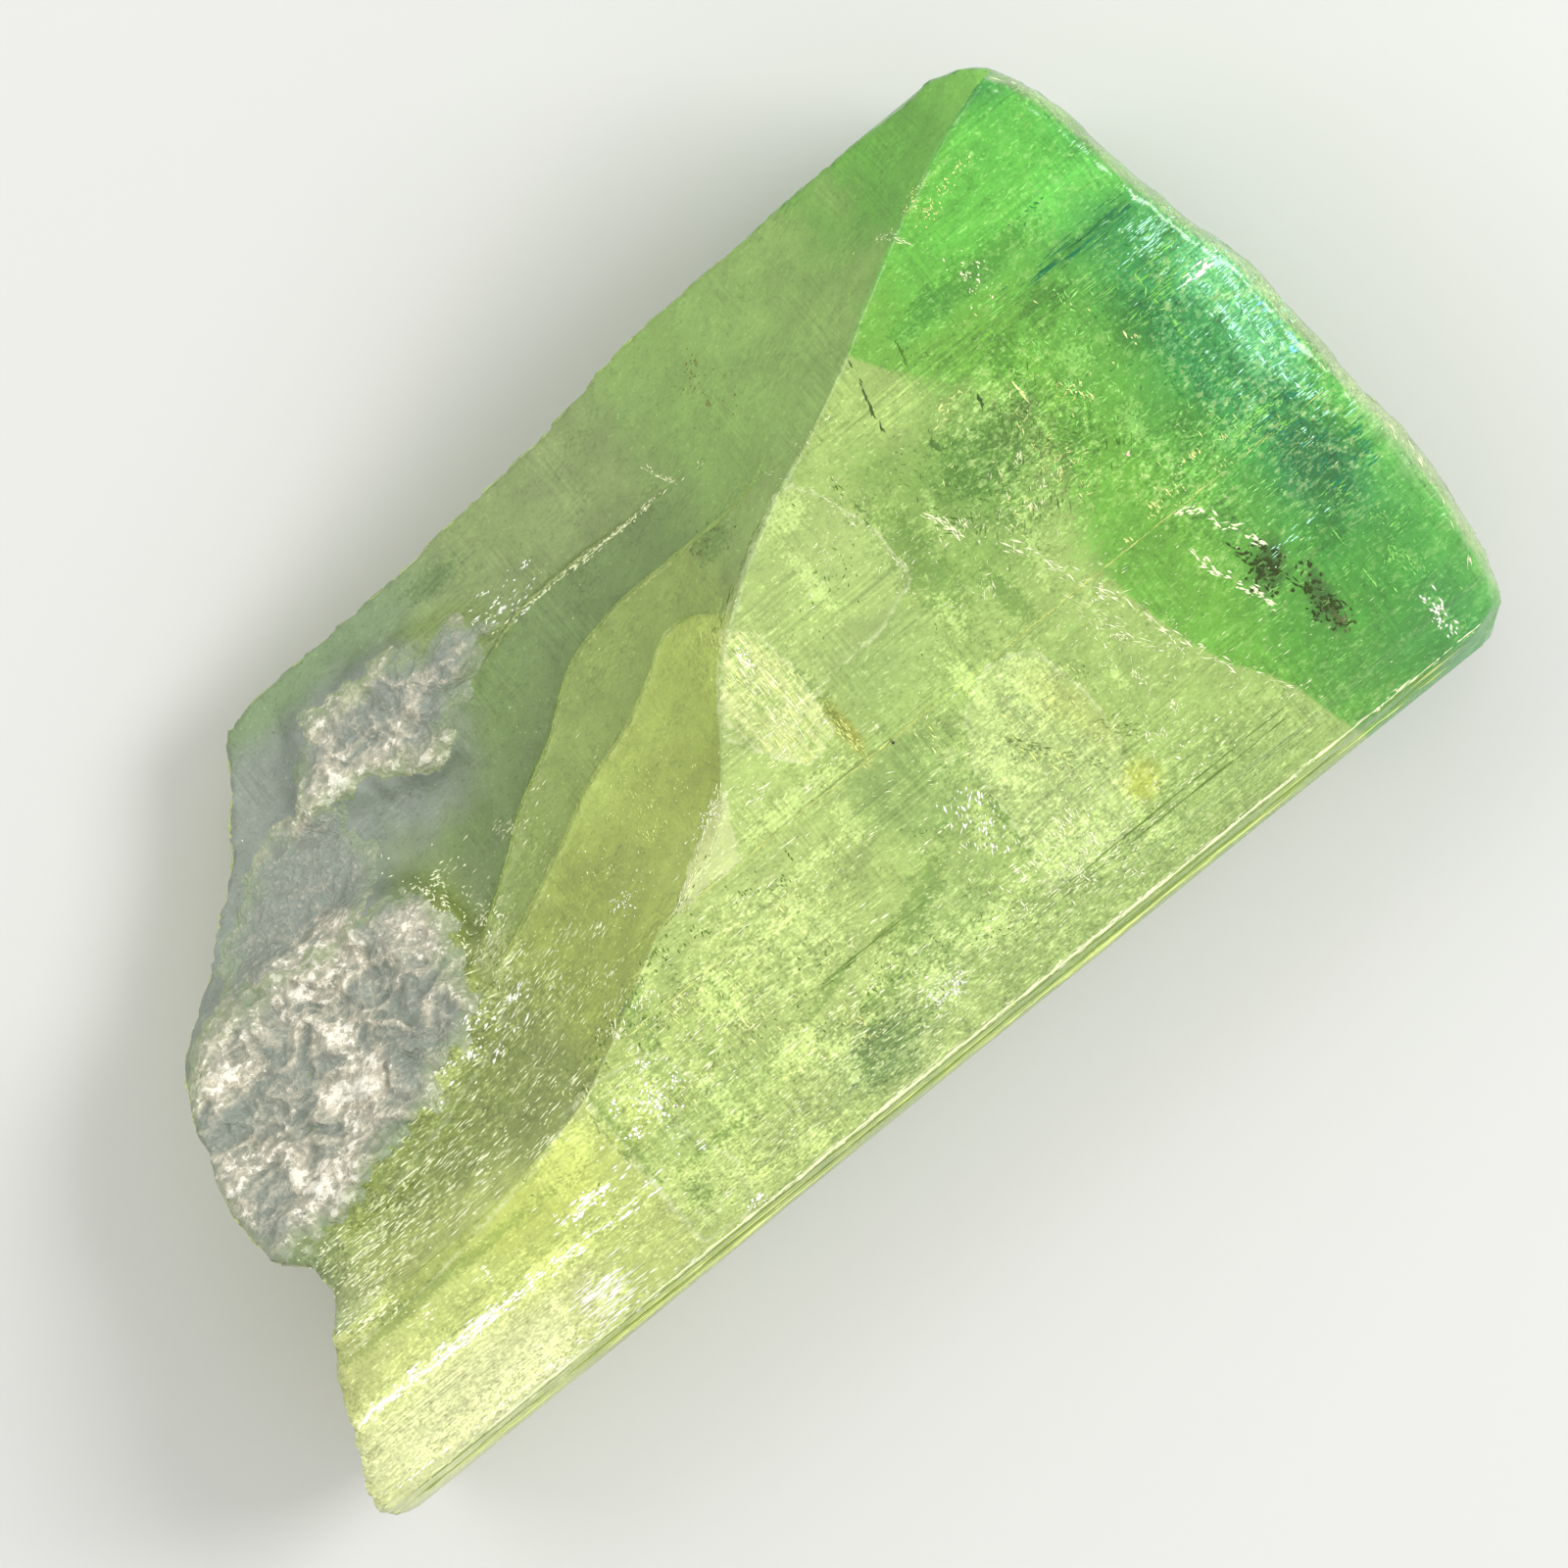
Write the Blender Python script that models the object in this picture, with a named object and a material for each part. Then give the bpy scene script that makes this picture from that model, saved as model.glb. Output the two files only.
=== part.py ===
# A loose green tourmaline crystal, lying on one of its long striated sides. It is one natural solid.
# +X runs along the crystal's own long axis, from the ragged base to the worn termination. +Y runs across it,
# from the striated long edge to the broken side. +Z is up. The script works in millimetres and scales once.
import math

import bmesh
import bpy
import numpy as np
from mathutils import Vector, noise

MM = 0.001  # one millimetre, in metres

# Driving dimensions, in millimetres
LENGTH = 30.0  # base to termination
WIDTH = 15.95  # long edge to far side
HEIGHT = 10.35  # flat underside to the highest striated face
SPARE = 2.0  # how far each cutter reaches past the body

# Corners of the prism's cross-section as (y, z), counter-clockwise seen from the termination
UNDERSIDE = [(1.9, 0.0), (6.4, 0.0), (10.2, 0.0), (14.2, 0.0)]
FAR_SIDE = [(15.05, 2.4), (15.16, 3.6), (15.5, 4.8), (15.86, 5.9), (WIDTH, 7.6), (15.88, 9.9)]
TOP_FACES = [(15.2, HEIGHT), (12.0, 10.3), (6.1, 9.15), (1.9, 7.35), (0.42, 5.75)]
NEAR_SIDE = [(0.05, 4.4), (0.22, 2.3), (0.95, 0.55)]
FACE_BULGE = 0.012  # of a face's width: the faces of a tourmaline prism are slightly rounded

# Striations: the fine steps that run the whole length of the prism faces
STEP_PITCH = 0.42  # mean width of one step
STEP_DEPTH = 0.035  # how far a step stands in or out
STEP_EDGE = 0.05  # width of the slope between two steps
UNDERSIDE_GROOVE = 0.05  # depth of the few grooves in the flat underside
SECTION_SPANS = 5  # lengths along the prism over which the steps change
STEP_CHANGE = 0.25  # share of a step that changes from one length to the next

# The ridge where the diagonal break meets the striated faces, as (x, y)
RIDGE = [(-2.0, 3.85), (2.0, 3.85), (7.0, 4.05), (8.6, 4.4), (10.0, 5.05), (11.9, 6.05), (13.0, 6.4),
         (14.3, 7.1), (15.1, 8.05), (15.8, 9.0), (17.0, 10.05), (19.1, 11.3), (21.3, 12.25), (23.6, 13.55),
         (25.0, 14.25), (27.0, 15.05), (28.2, 15.3), (32.0, 15.9)]
# Ledges of the break, from the ridge outwards, as (x, y)
INNER_LEDGE = [(-2.0, 5.4), (5.0, 6.2), (9.0, 7.6), (10.2, 8.1), (11.3, 8.6), (12.5, 9.2), (14.0, 9.7),
               (15.0, 10.2), (15.7, 10.62), (16.3, 10.65), (17.0, 10.2), (32.0, 16.0)]
OUTER_LEDGE = [(-2.0, 6.6), (5.0, 7.2), (9.1, 8.3), (10.2, 9.0), (11.3, 9.8), (12.6, 10.5), (13.8, 11.35),
               (15.0, 11.68), (18.0, 11.75), (20.0, 11.9), (32.0, 16.0)]
STRAIGHT_LEDGE = [(-2.0, 9.5), (9.0, 11.3), (12.0, 12.4), (13.5, 12.9), (18.0, 12.95), (32.0, 16.2)]
LEDGES = [  # outline, height of the step, first and last x at which it has its full height
    (INNER_LEDGE, 0.38, (8.8, 16.2)),
    (OUTER_LEDGE, 0.5, (9.2, 18.6)),
    (STRAIGHT_LEDGE, 0.16, (12.6, 17.4)),
]
LEDGE_FADE = 1.6  # length over which a ledge dies out
TERRACE_REACH = 4.0  # distance from the ridge over which the break recovers from the terraces' thickness
LEDGE_SLOPE = 0.09  # width of a ledge's steep face
LEAST_TERRACE = 0.3  # the ledges stay this far apart
CALM_RIDGE = [(-2.0, 3.0), (5.0, 3.8), (10.0, 5.3), (16.0, 8.9), (22.0, 12.4), (28.0, 15.2), (32.0, 16.6)]
CALM_REACH = 1.5  # distance from the ridge over which the break forgets the ridge's bends
BREAK_DROP = 7.0  # depth that the hollow, shell-like break tends to
BREAK_REACH = 5.5  # distance from the ridge over which it falls
BREAK_ACROSS = 0.9  # share of a distance in y that is square to the slanting ridge
BREAK_WAVE = 0.07  # height of the slow waves on the break
BREAK_STATIONS = [(-SPARE, 0.8), (1.0, 0.28), (14.0, 0.36), (20.0, 0.7)]  # x, and the row pitch from there on
BREAK_COUNTS = [4, 4, 8, 15]  # points across each terrace, and across what lies beyond the last ledge
BREAK_LEAD = [1.6, 0.8]  # how far before the ridge its first points lie, clear of the striated faces

# Outlines of the two ends seen from above, as (y, x)
BASE_OUTLINE = [(-2.0, 1.6), (0.0, 0.5), (0.3, 0.06), (0.7, 0.0), (1.4, 0.38), (2.8, 1.08), (3.5, 1.43),
                (4.2, 1.95), (4.9, 2.26), (5.3, 2.05), (5.7, 1.6), (6.3, 1.5), (7.7, 1.58), (8.4, 1.8),
                (9.1, 2.0), (9.8, 2.35), (10.5, 2.9), (11.0, 3.72), (11.9, 4.85), (12.6, 5.66), (13.3, 6.27),
                (14.0, 6.86), (14.75, 7.38), (15.05, 7.8), (15.25, 8.9), (18.0, 11.0)]
TIP_OUTLINE = [(-2.0, 26.6), (-0.2, 28.4), (0.05, 28.9), (0.3, 29.35), (0.7, 29.6), (1.4, 29.73), (2.8, 29.93),
               (4.2, LENGTH), (5.6, 29.83), (8.4, 29.66), (9.1, 29.6), (9.8, 29.41), (10.5, 29.2),
               (11.2, 29.08), (11.9, 28.85), (13.3, 28.62), (14.0, 28.52), (14.7, 28.28), (15.3, 27.92),
               (15.65, 27.6), (15.88, 27.0), (18.0, 23.6)]
BASE_UNDERCUT = 0.9  # how far the broken base leans in towards the underside
BASE_ROUGH = 0.16  # its roughness
TIP_EDGE = 0.28  # how far the worn top edge of the termination rounds back
TIP_BAND = 0.7  # height of that rounding
TIP_UNDERCUT = 0.5  # how far its lower edge rounds back
TIP_UNDERCUT_BAND = 1.6  # height of that lower rounding
TIP_PITS = 0.06  # depth of its etched hollows
END_COLUMNS, END_LAYERS = 40, 14  # points across and up each end

# The rough crust grown on the break, as patches seen from above: outline as (x, y), and thickness
BASE_CRUST = [(1.0, 6.1), (1.0, 8.1), (1.7, 9.6), (3.0, 10.5), (4.4, 10.75), (6.0, 10.5), (7.8, 10.5),
              (8.9, 9.9), (9.0, 8.8), (8.4, 8.0), (8.2, 7.0), (6.2, 6.1), (4.2, 5.75), (2.9, 5.5), (1.6, 5.5)]
SIDE_CRUST = [(7.5, 12.5), (8.0, 13.5), (8.8, 14.35), (10.2, 14.2), (11.4, 14.1), (12.7, 13.8), (13.5, 13.1),
              (12.4, 12.6), (11.5, 12.1), (11.2, 11.5), (10.3, 11.4), (9.4, 11.9), (8.3, 12.0)]
CRUSTS = [(BASE_CRUST, 0.5), (SIDE_CRUST, 0.34)]
CRUST_RIM = 0.5  # width over which its edge rises
CRUST_LUMP = 0.34  # how far its lumps rise and fall
CRUST_GRAIN = 0.95  # lumps per millimetre

GREEN = (0.36, 0.62, 0.16, 1.0)  # the crystal's mean colour


def curve_at(points, x):
    """Height at x of a smooth curve through the points, which are sorted along x."""
    known, values = np.array(points, float).T
    slopes = np.gradient(values, known)
    i = int(np.clip(np.searchsorted(known, x) - 1, 0, len(known) - 2))
    width = known[i + 1] - known[i]
    t = float(np.clip((x - known[i]) / width, 0.0, 1.0))
    start = (1 + 2 * t) * (1 - t) ** 2 * values[i] + t * (1 - t) ** 2 * width * slopes[i]
    end = t * t * (3 - 2 * t) * values[i + 1] + t * t * (t - 1) * width * slopes[i + 1]
    return float(start + end)


def straight_at(points, x):
    """Height at x of the straight runs between the points, which are sorted along x."""
    known, values = np.array(points, float).T
    return float(np.interp(x, known, values))


def wave(x, y, scale, seed):
    """Smooth noise between about -1 and 1 that is the same on each run."""
    return noise.noise(Vector((x * scale, y * scale, seed)))


def smooth_step(edge_a, edge_b, x):
    """0 below the first edge, 1 above the second, and a soft rise between them."""
    t = min(max((x - edge_a) / (edge_b - edge_a), 0.0), 1.0)
    return t * t * (3 - 2 * t)


def top_height(y):
    """Height of the striated faces above the underside."""
    return straight_at(sorted(TOP_FACES + NEAR_SIDE[:1] + FAR_SIDE[-1:]), y)


def new_object(name, bm):
    """Closes a bmesh, turns its faces outwards and makes it an object in metres."""
    bmesh.ops.remove_doubles(bm, verts=bm.verts, dist=1e-5)
    bmesh.ops.recalc_face_normals(bm, faces=bm.faces)
    bmesh.ops.scale(bm, vec=(MM, MM, MM), verts=bm.verts)
    mesh = bpy.data.meshes.new(name)
    bm.to_mesh(mesh)
    bm.free()
    obj = bpy.data.objects.new(name, mesh)
    bpy.context.scene.collection.objects.link(obj)
    return obj


def cut(body, tool):
    """Cuts a tool from the body and removes the tool."""
    modifier = body.modifiers.new("cut", "BOOLEAN")
    modifier.operation = "DIFFERENCE"
    modifier.solver = "EXACT"
    modifier.object = tool
    graph = bpy.context.evaluated_depsgraph_get()
    finished = bpy.data.meshes.new_from_object(body.evaluated_get(graph))
    body.modifiers.clear()
    body.data = finished
    bpy.data.objects.remove(tool)


def stepped_face(start, end, rng, depth):
    """Points of one prism face from start towards end: flat steps in and out, on a slight bulge."""
    start, end = Vector(start), Vector(end)
    width = (end - start).length
    along = (end - start) / width
    outwards = Vector((along.y, -along.x))
    count = max(2, round(width / STEP_PITCH))
    cuts = np.sort(rng.uniform(0.0, 1.0, count - 1)) * 0.5 + np.linspace(0, 1, count + 1)[1:-1] * 0.5
    edges = [0.0, *cuts.tolist(), 1.0]
    points = []
    for low, high in zip(edges[:-1], edges[1:]):
        offset = rng.uniform(-depth, depth)
        for share in (low + STEP_EDGE / width / 2, high - STEP_EDGE / width / 2):
            bulge = FACE_BULGE * width * 4 * share * (1 - share)
            points.append(start + along * (share * width) + outwards * (bulge + offset))
    return points


def underside_points():
    """The flat underside: wide level bands with narrow grooves between them."""
    points = [Vector(UNDERSIDE[0])]
    for y, z in UNDERSIDE[1:-1]:
        groove = [(y - STEP_EDGE, z), (y, z + UNDERSIDE_GROOVE), (y + 3 * STEP_EDGE, z)]
        points += [Vector(point) for point in groove]
    return points + [Vector(UNDERSIDE[-1])]


def section_points(seed):
    """One closed cross-section of the prism, as (y, z). Each seed gives the same number of points."""
    rng = np.random.default_rng(seed)
    points = underside_points()
    corners = [UNDERSIDE[-1], *FAR_SIDE, *TOP_FACES, *NEAR_SIDE, UNDERSIDE[0]]
    for start, end in zip(corners[:-1], corners[1:]):
        points += stepped_face(start, end, rng, STEP_DEPTH)
    return [Vector((point.x, max(point.y, 0.0))) for point in points]


def striated_prism():
    """The whole crystal as it grew: a rounded prism with striated faces, longer than the finished piece."""
    stations = np.linspace(-SPARE, LENGTH + SPARE, SECTION_SPANS + 1)
    shared = section_points(seed=3)
    bm = bmesh.new()
    rings = []
    for number, x in enumerate(stations):
        own = section_points(seed=3 if number % 2 else 4)
        blended = [a.lerp(b, STEP_CHANGE) for a, b in zip(shared, own)]
        rings.append([bm.verts.new((x, point.x, point.y)) for point in blended])
    for ring, following in zip(rings[:-1], rings[1:]):
        for k in range(len(ring)):
            after = (k + 1) % len(ring)
            bm.faces.new((ring[k], ring[after], following[after], following[k]))
    bm.faces.new(rings[0])
    bm.faces.new(rings[-1])
    return new_object("tourmaline_crystal", bm)


def sheet_block(name, grid, push):
    """A closed block between a curved sheet of points and its copy moved by push."""
    bm = bmesh.new()
    rows = [[bm.verts.new(point) for point in row] for row in grid]
    for row, following in zip(rows[:-1], rows[1:]):
        for k in range(len(row) - 1):
            bm.faces.new((row[k], row[k + 1], following[k + 1], following[k]))
    edge = [e for e in bm.edges if e.is_boundary]
    made = bmesh.ops.extrude_edge_only(bm, edges=edge)["geom"]
    moved = [v for v in made if isinstance(v, bmesh.types.BMVert)]
    axis = next(k for k in range(3) if push[k])
    for vert in moved:
        vert.co[axis] = push[axis]
    rim = [e for e in made if isinstance(e, bmesh.types.BMEdge) and e.is_boundary]
    bmesh.ops.contextual_create(bm, geom=rim)
    return new_object(name, bm)


def base_cutter():
    """What is missing at the base: all that lies beyond a rough face that leans in towards the underside."""
    grid = []
    for z in np.linspace(-SPARE, HEIGHT + SPARE, END_LAYERS):
        row = []
        for y in np.linspace(-SPARE, WIDTH + SPARE, END_COLUMNS):
            rim = min(top_height(y), break_height(straight_at(BASE_OUTLINE, y), y))
            lean = max(rim - z, 0.0) / rim
            x = curve_at(BASE_OUTLINE, y) + BASE_UNDERCUT * lean**1.5
            rough = BASE_ROUGH * lean * (wave(y, z, 0.9, 11.0) + 0.6 * wave(y, z, 2.1, 12.0))
            row.append((x + rough, y, z))
        grid.append(row)
    return sheet_block("base_cutter", grid, (-3 * SPARE, 0, 0))


def tip_cutter():
    """What is missing at the termination: all beyond a nearly square, worn and etched face."""
    grid = []
    for z in np.linspace(-SPARE, HEIGHT + SPARE, 2 * END_LAYERS):
        row = []
        for y in np.linspace(-SPARE, WIDTH + SPARE, END_COLUMNS):
            top = top_height(min(max(y, 0.1), WIDTH - 0.2))
            over = max(z - (top - TIP_BAND), 0.0) / TIP_BAND
            under = max(TIP_UNDERCUT_BAND - z, 0.0) / TIP_UNDERCUT_BAND
            pits = TIP_PITS * (wave(y, z, 0.8, 21.0) + 0.5 * wave(y, z, 2.4, 22.0))
            x = curve_at(TIP_OUTLINE, y) - TIP_EDGE * over**2 - TIP_UNDERCUT * under**2 + pits
            row.append((x, y, z))
        grid.append(row)
    return sheet_block("tip_cutter", grid, (LENGTH + 3 * SPARE, 0, 0))


def inside_by(outline, x, y):
    """Distance from a point to a closed outline: above zero inside it, below zero outside."""
    point = Vector((x, y))
    nearest, crossings = 1e9, 0
    for (xa, ya), (xb, yb) in zip(outline, outline[1:] + outline[:1]):
        a, run = Vector((xa, ya)), Vector((xb - xa, yb - ya))
        share = min(max((point - a).dot(run) / run.length_squared, 0.0), 1.0)
        nearest = min(nearest, (point - a - run * share).length)
        if (ya > y) != (yb > y) and x < xa + (y - ya) / (yb - ya) * (xb - xa):
            crossings += 1
    return nearest if crossings % 2 else -nearest


def crust_lift(x, y):
    """Thickness of the crust at a point: rounded mounds with sharp creases between them."""
    lift = 0.0
    for outline, thickness in CRUSTS:
        cover = smooth_step(-CRUST_RIM / 2, CRUST_RIM / 2, inside_by(outline, x, y))
        if cover > 0:
            mounds = 1 - 2 * abs(wave(x, y, CRUST_GRAIN, 41.0)) ** 0.7
            lumps = 0.7 * mounds + 0.6 * wave(x, y, 2.6 * CRUST_GRAIN, 42.0)
            lift = max(lift, cover * (thickness + CRUST_LUMP * lumps))
    return lift


def ledge_lines(x):
    """Where the ridge and the ledges lie at x, kept in order and apart."""
    lines = [curve_at(RIDGE, x)]
    for outline, _, _ in LEDGES:
        lines.append(max(curve_at(outline, x), lines[-1] + LEAST_TERRACE))
    return lines


def break_height(x, y):
    """Height of the hollow, shell-like break: it falls from the ridge, and by a step at each ledge."""
    ridge, *ledges = ledge_lines(x)
    calm = 1 - math.exp(-max(y - ridge, 0.0) / CALM_REACH)
    start = ridge + (curve_at(CALM_RIDGE, x) - ridge) * calm
    distance = (y - start) * BREAK_ACROSS
    if distance >= 0:
        fall = BREAK_DROP * (1 - math.exp(-distance / BREAK_REACH))
    else:
        fall = distance * BREAK_DROP / BREAK_REACH
    height = top_height(start) - fall
    for line, (_, step, (first, last)) in zip(ledges, LEDGES):
        present = smooth_step(first - LEDGE_FADE, first, x) * (1 - smooth_step(last, last + LEDGE_FADE, x))
        terrace = 1 - smooth_step(line, line + LEDGE_SLOPE, y)
        height += step * present * (terrace - math.exp(-max(distance, 0.0) / TERRACE_REACH))
    waves = wave(x, y, 0.35, 31.0) + 0.6 * wave(x, y, 1.1, 32.0)
    return height + BREAK_WAVE * calm * waves + crust_lift(x, y)


def break_stations():
    """The x of each row of points of the break: close together where it is rough."""
    ends = [x for x, _ in BREAK_STATIONS[1:]] + [LENGTH + SPARE]
    return [x for (start, pitch), end in zip(BREAK_STATIONS, ends) for x in np.arange(start, end - 1e-6, pitch)]


def break_cutter():
    """What is missing at the side: all above the break. Its rows of points follow the ridge and the ledges."""
    grid = []
    for x in break_stations():
        ridge, *ledges = ledge_lines(x)
        ys = [ridge - lead for lead in BREAK_LEAD]
        low = ridge
        for line, count in zip(ledges, BREAK_COUNTS):
            ys += np.linspace(low, line, count + 1).tolist()
            low = line + LEDGE_SLOPE
        ys += np.linspace(low, WIDTH + SPARE, BREAK_COUNTS[-1]).tolist()
        grid.append([(x, y, break_height(x, y)) for y in ys])
    return sheet_block("break_cutter", grid, (0, 0, HEIGHT + 2 * SPARE))


def stand_at_origin(obj):
    """Puts the middle of the underside at the origin, by moving the mesh."""
    corners = [Vector(corner) for corner in obj.bound_box]
    low = Vector([min(corner[k] for corner in corners) for k in range(3)])
    high = Vector([max(corner[k] for corner in corners) for k in range(3)])
    shift = bmesh.new()
    shift.from_mesh(obj.data)
    bmesh.ops.translate(shift, vec=(-(low.x + high.x) / 2, -(low.y + high.y) / 2, -low.z), verts=shift.verts)
    bmesh.ops.triangulate(shift, faces=shift.faces)
    shift.to_mesh(obj.data)
    shift.free()


def tourmaline_material():
    """Clear green tourmaline, as a plain see-through green."""
    material = bpy.data.materials.new("tourmaline")
    material.use_nodes = True
    shader = material.node_tree.nodes["Principled BSDF"]
    shader.inputs["Base Color"].default_value = GREEN
    shader.inputs["Roughness"].default_value = 0.18
    shader.inputs["Metallic"].default_value = 0.0
    shader.inputs["IOR"].default_value = 1.63
    shader.inputs["Transmission Weight"].default_value = 0.7
    return material


def build_crystal():
    for obj in list(bpy.data.objects):
        bpy.data.objects.remove(obj)
    crystal = striated_prism()
    for cutter in (base_cutter(), tip_cutter(), break_cutter()):
        cut(crystal, cutter)
    stand_at_origin(crystal)
    crystal.data.materials.clear()
    crystal.data.materials.append(tourmaline_material())
    crystal.data.shade_smooth()
    crystal.data.set_sharp_from_angle(angle=math.radians(25))
    return crystal


build_crystal()
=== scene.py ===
# %% [markdown]
# # A green tourmaline crystal
# This lesson dresses one natural crystal. A imported solid gives its size, its ridge and its ledges. The
# cells below give it a finer skin, its colour zones, the rough crust, the healed cracks and grains
# inside, and a plain studio. The solid is loaded first. The finished crystal has to stay inside it.

import math

import bmesh
import bpy
import numpy as np
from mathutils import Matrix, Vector, noise
from mathutils.bvhtree import BVHTree


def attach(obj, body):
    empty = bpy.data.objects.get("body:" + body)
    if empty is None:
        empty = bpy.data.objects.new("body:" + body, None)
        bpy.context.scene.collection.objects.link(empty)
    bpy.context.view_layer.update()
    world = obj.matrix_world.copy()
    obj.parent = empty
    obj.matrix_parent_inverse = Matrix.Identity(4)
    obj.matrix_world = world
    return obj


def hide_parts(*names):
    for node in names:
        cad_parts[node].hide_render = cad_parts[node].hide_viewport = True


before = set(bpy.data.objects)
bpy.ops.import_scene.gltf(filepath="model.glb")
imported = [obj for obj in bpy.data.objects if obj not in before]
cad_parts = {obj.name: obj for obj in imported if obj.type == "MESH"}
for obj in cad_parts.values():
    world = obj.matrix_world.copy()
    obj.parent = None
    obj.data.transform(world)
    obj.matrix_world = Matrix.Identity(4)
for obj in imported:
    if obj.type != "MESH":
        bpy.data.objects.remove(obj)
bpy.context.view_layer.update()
crystal_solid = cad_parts["tourmaline_crystal"]

# %% [markdown]
# ## Millimetres along the crystal
# The object frame has its origin under the middle of the crystal. It is easier to describe a crystal from
# its own corner: u runs from the broken base to the termination, v from the striated long edge to the
# broken side, and w is the height, all in millimetres. A small helper draws a smooth curve through a few
# points, which is how the ridge and the ledges are described. Polynomials through so many points would
# swing, so each span gets its own.

# %% Drawing coordinates and curves
MM = 0.001
CORNER = np.array((15.0, 7.98, 0.0))


def curve_at(points, x):
    """Values at the array x of a smooth curve through the points, which are sorted along x."""
    known, values = np.array(points, float).T
    slopes = np.gradient(values, known)
    i = np.clip(np.searchsorted(known, x) - 1, 0, len(known) - 2)
    width = known[i + 1] - known[i]
    t = np.clip((x - known[i]) / width, 0.0, 1.0)
    start = (1 + 2 * t) * (1 - t) ** 2 * values[i] + t * (1 - t) ** 2 * width * slopes[i]
    return start + t * t * (3 - 2 * t) * values[i + 1] + t * t * (t - 1) * width * slopes[i + 1]


RIDGE = [(-2.0, 3.85), (2.0, 3.85), (7.0, 4.05), (8.6, 4.4), (10.0, 5.05), (11.9, 6.05), (13.0, 6.4),
         (14.3, 7.1), (15.1, 8.05), (15.8, 9.0), (17.0, 10.05), (19.1, 11.3), (21.3, 12.25),
         (23.6, 13.55), (25.0, 14.25), (27.0, 15.05), (28.2, 15.3), (32.0, 15.9)]
print("the ridge rises from v", RIDGE[0][1], "to", RIDGE[-1][1])

# %% [markdown]
# ## An even skin
# The solid has few faces, and they are long and thin. A voxel remesh covers a closed copy with even
# squares, which fine steps and lumps can then move. Subdividing the long faces would keep every edge, but
# it leaves slivers that shade badly. The squares that face up are split once, and those along the ridge
# and the ledges twice more. A remesh rounds sharp edges, so a shrinkwrap at the end pulls each point back
# onto the solid. The cell keeps the skin just under 200,000 triangles.

# %% Cover the solid with an even skin
SKIN_CELL = 0.25
EDGE_WIDTH = 0.14
FACES_UP, EDGE_FACES_UP = 0.3, 0.2  # least height of the direction of a face that is split
INNER_LEDGE = [(-2.0, 5.4), (5.0, 6.2), (9.0, 7.6), (10.2, 8.1), (11.3, 8.6), (12.5, 9.2), (14.0, 9.7),
               (15.0, 10.2), (15.7, 10.62), (16.3, 10.65), (17.0, 10.2), (32.0, 16.0)]
OUTER_LEDGE = [(-2.0, 6.6), (5.0, 7.2), (9.1, 8.3), (10.2, 9.0), (11.3, 9.8), (12.6, 10.5), (13.8, 11.35),
               (15.0, 11.68), (18.0, 11.75), (20.0, 11.9), (32.0, 16.0)]
STRAIGHT_LEDGE = [(-2.0, 9.5), (9.0, 11.3), (12.0, 12.4), (13.5, 12.9), (18.0, 12.95), (32.0, 16.2)]
EDGES = [(RIDGE, 0.0, 28.5), (INNER_LEDGE, 8.4, 16.6), (OUTER_LEDGE, 8.4, 19.0),
         (STRAIGHT_LEDGE, 12.4, 17.8)]


def plain_object(name, mesh):
    made = bpy.data.objects.new(name, mesh)
    bpy.context.scene.collection.objects.link(made)
    return made


def mesh_of(bm, name):
    mesh = bpy.data.meshes.new(name)
    bm.to_mesh(mesh)
    bm.free()
    return mesh


def closed_copy(node, name):
    """A closed copy of a CAD node's loose triangles, in millimetres."""
    bm = bmesh.new()
    bm.from_mesh(node.data)
    bmesh.ops.remove_doubles(bm, verts=bm.verts, dist=1e-7)
    bmesh.ops.scale(bm, vec=(1 / MM,) * 3, verts=bm.verts)
    return plain_object(name, mesh_of(bm, name))


def with_modifiers_applied(made):
    graph = bpy.context.evaluated_depsgraph_get()
    made.data = bpy.data.meshes.new_from_object(made.evaluated_get(graph))
    made.modifiers.clear()


def array_of(items, name):
    """Three numbers of each point or face of a mesh, read all at once."""
    values = np.empty(len(items) * 3, np.float32)
    items.foreach_get(name, values)
    return values.reshape(-1, 3).astype(float)


def split_faces(mesh, chosen):
    """Splits each chosen square into four."""
    bm = bmesh.new()
    bm.from_mesh(mesh)
    edges = {edge for face, wanted in zip(bm.faces, chosen) if wanted for edge in face.edges}
    bmesh.ops.subdivide_edges(bm, edges=list(edges), cuts=1, use_grid_fill=True)
    bm.to_mesh(mesh)
    bm.free()


def near_an_edge(mesh):
    u, v, _ = (array_of(mesh.polygons, "center") + CORNER).T
    near = np.zeros(len(u), bool)
    for outline, first, last in EDGES:
        near |= (u > first) & (u < last) & (np.abs(v - curve_at(outline, u)) < EDGE_WIDTH)
    return near & (array_of(mesh.polygons, "normal")[:, 2] > EDGE_FACES_UP)


solid_copy = closed_copy(crystal_solid, "solid_copy")
crystal = plain_object("crystal", solid_copy.data.copy())
remesh = crystal.modifiers.new("even squares", "REMESH")
remesh.mode, remesh.voxel_size = "VOXEL", SKIN_CELL
with_modifiers_applied(crystal)
split_faces(crystal.data, array_of(crystal.data.polygons, "normal")[:, 2] > FACES_UP)
for _ in range(2):
    split_faces(crystal.data, near_an_edge(crystal.data))
pull = crystal.modifiers.new("back to the solid", "SHRINKWRAP")
pull.target = solid_copy
with_modifiers_applied(crystal)
bpy.data.objects.remove(solid_copy)
print("skin", len(crystal.data.vertices), "points")

# %% [markdown]
# ## Which part is which
# Each kind of surface gets its own relief and finish: the striated prism faces, the dull curved break,
# the splintery part of the break, the etched termination and the torn base. The kind of each point
# follows from where it lies and where it faces, so it is worked out for all points at once, as weights
# between 0 and 1.

# %% Weights for each kind of surface


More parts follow.
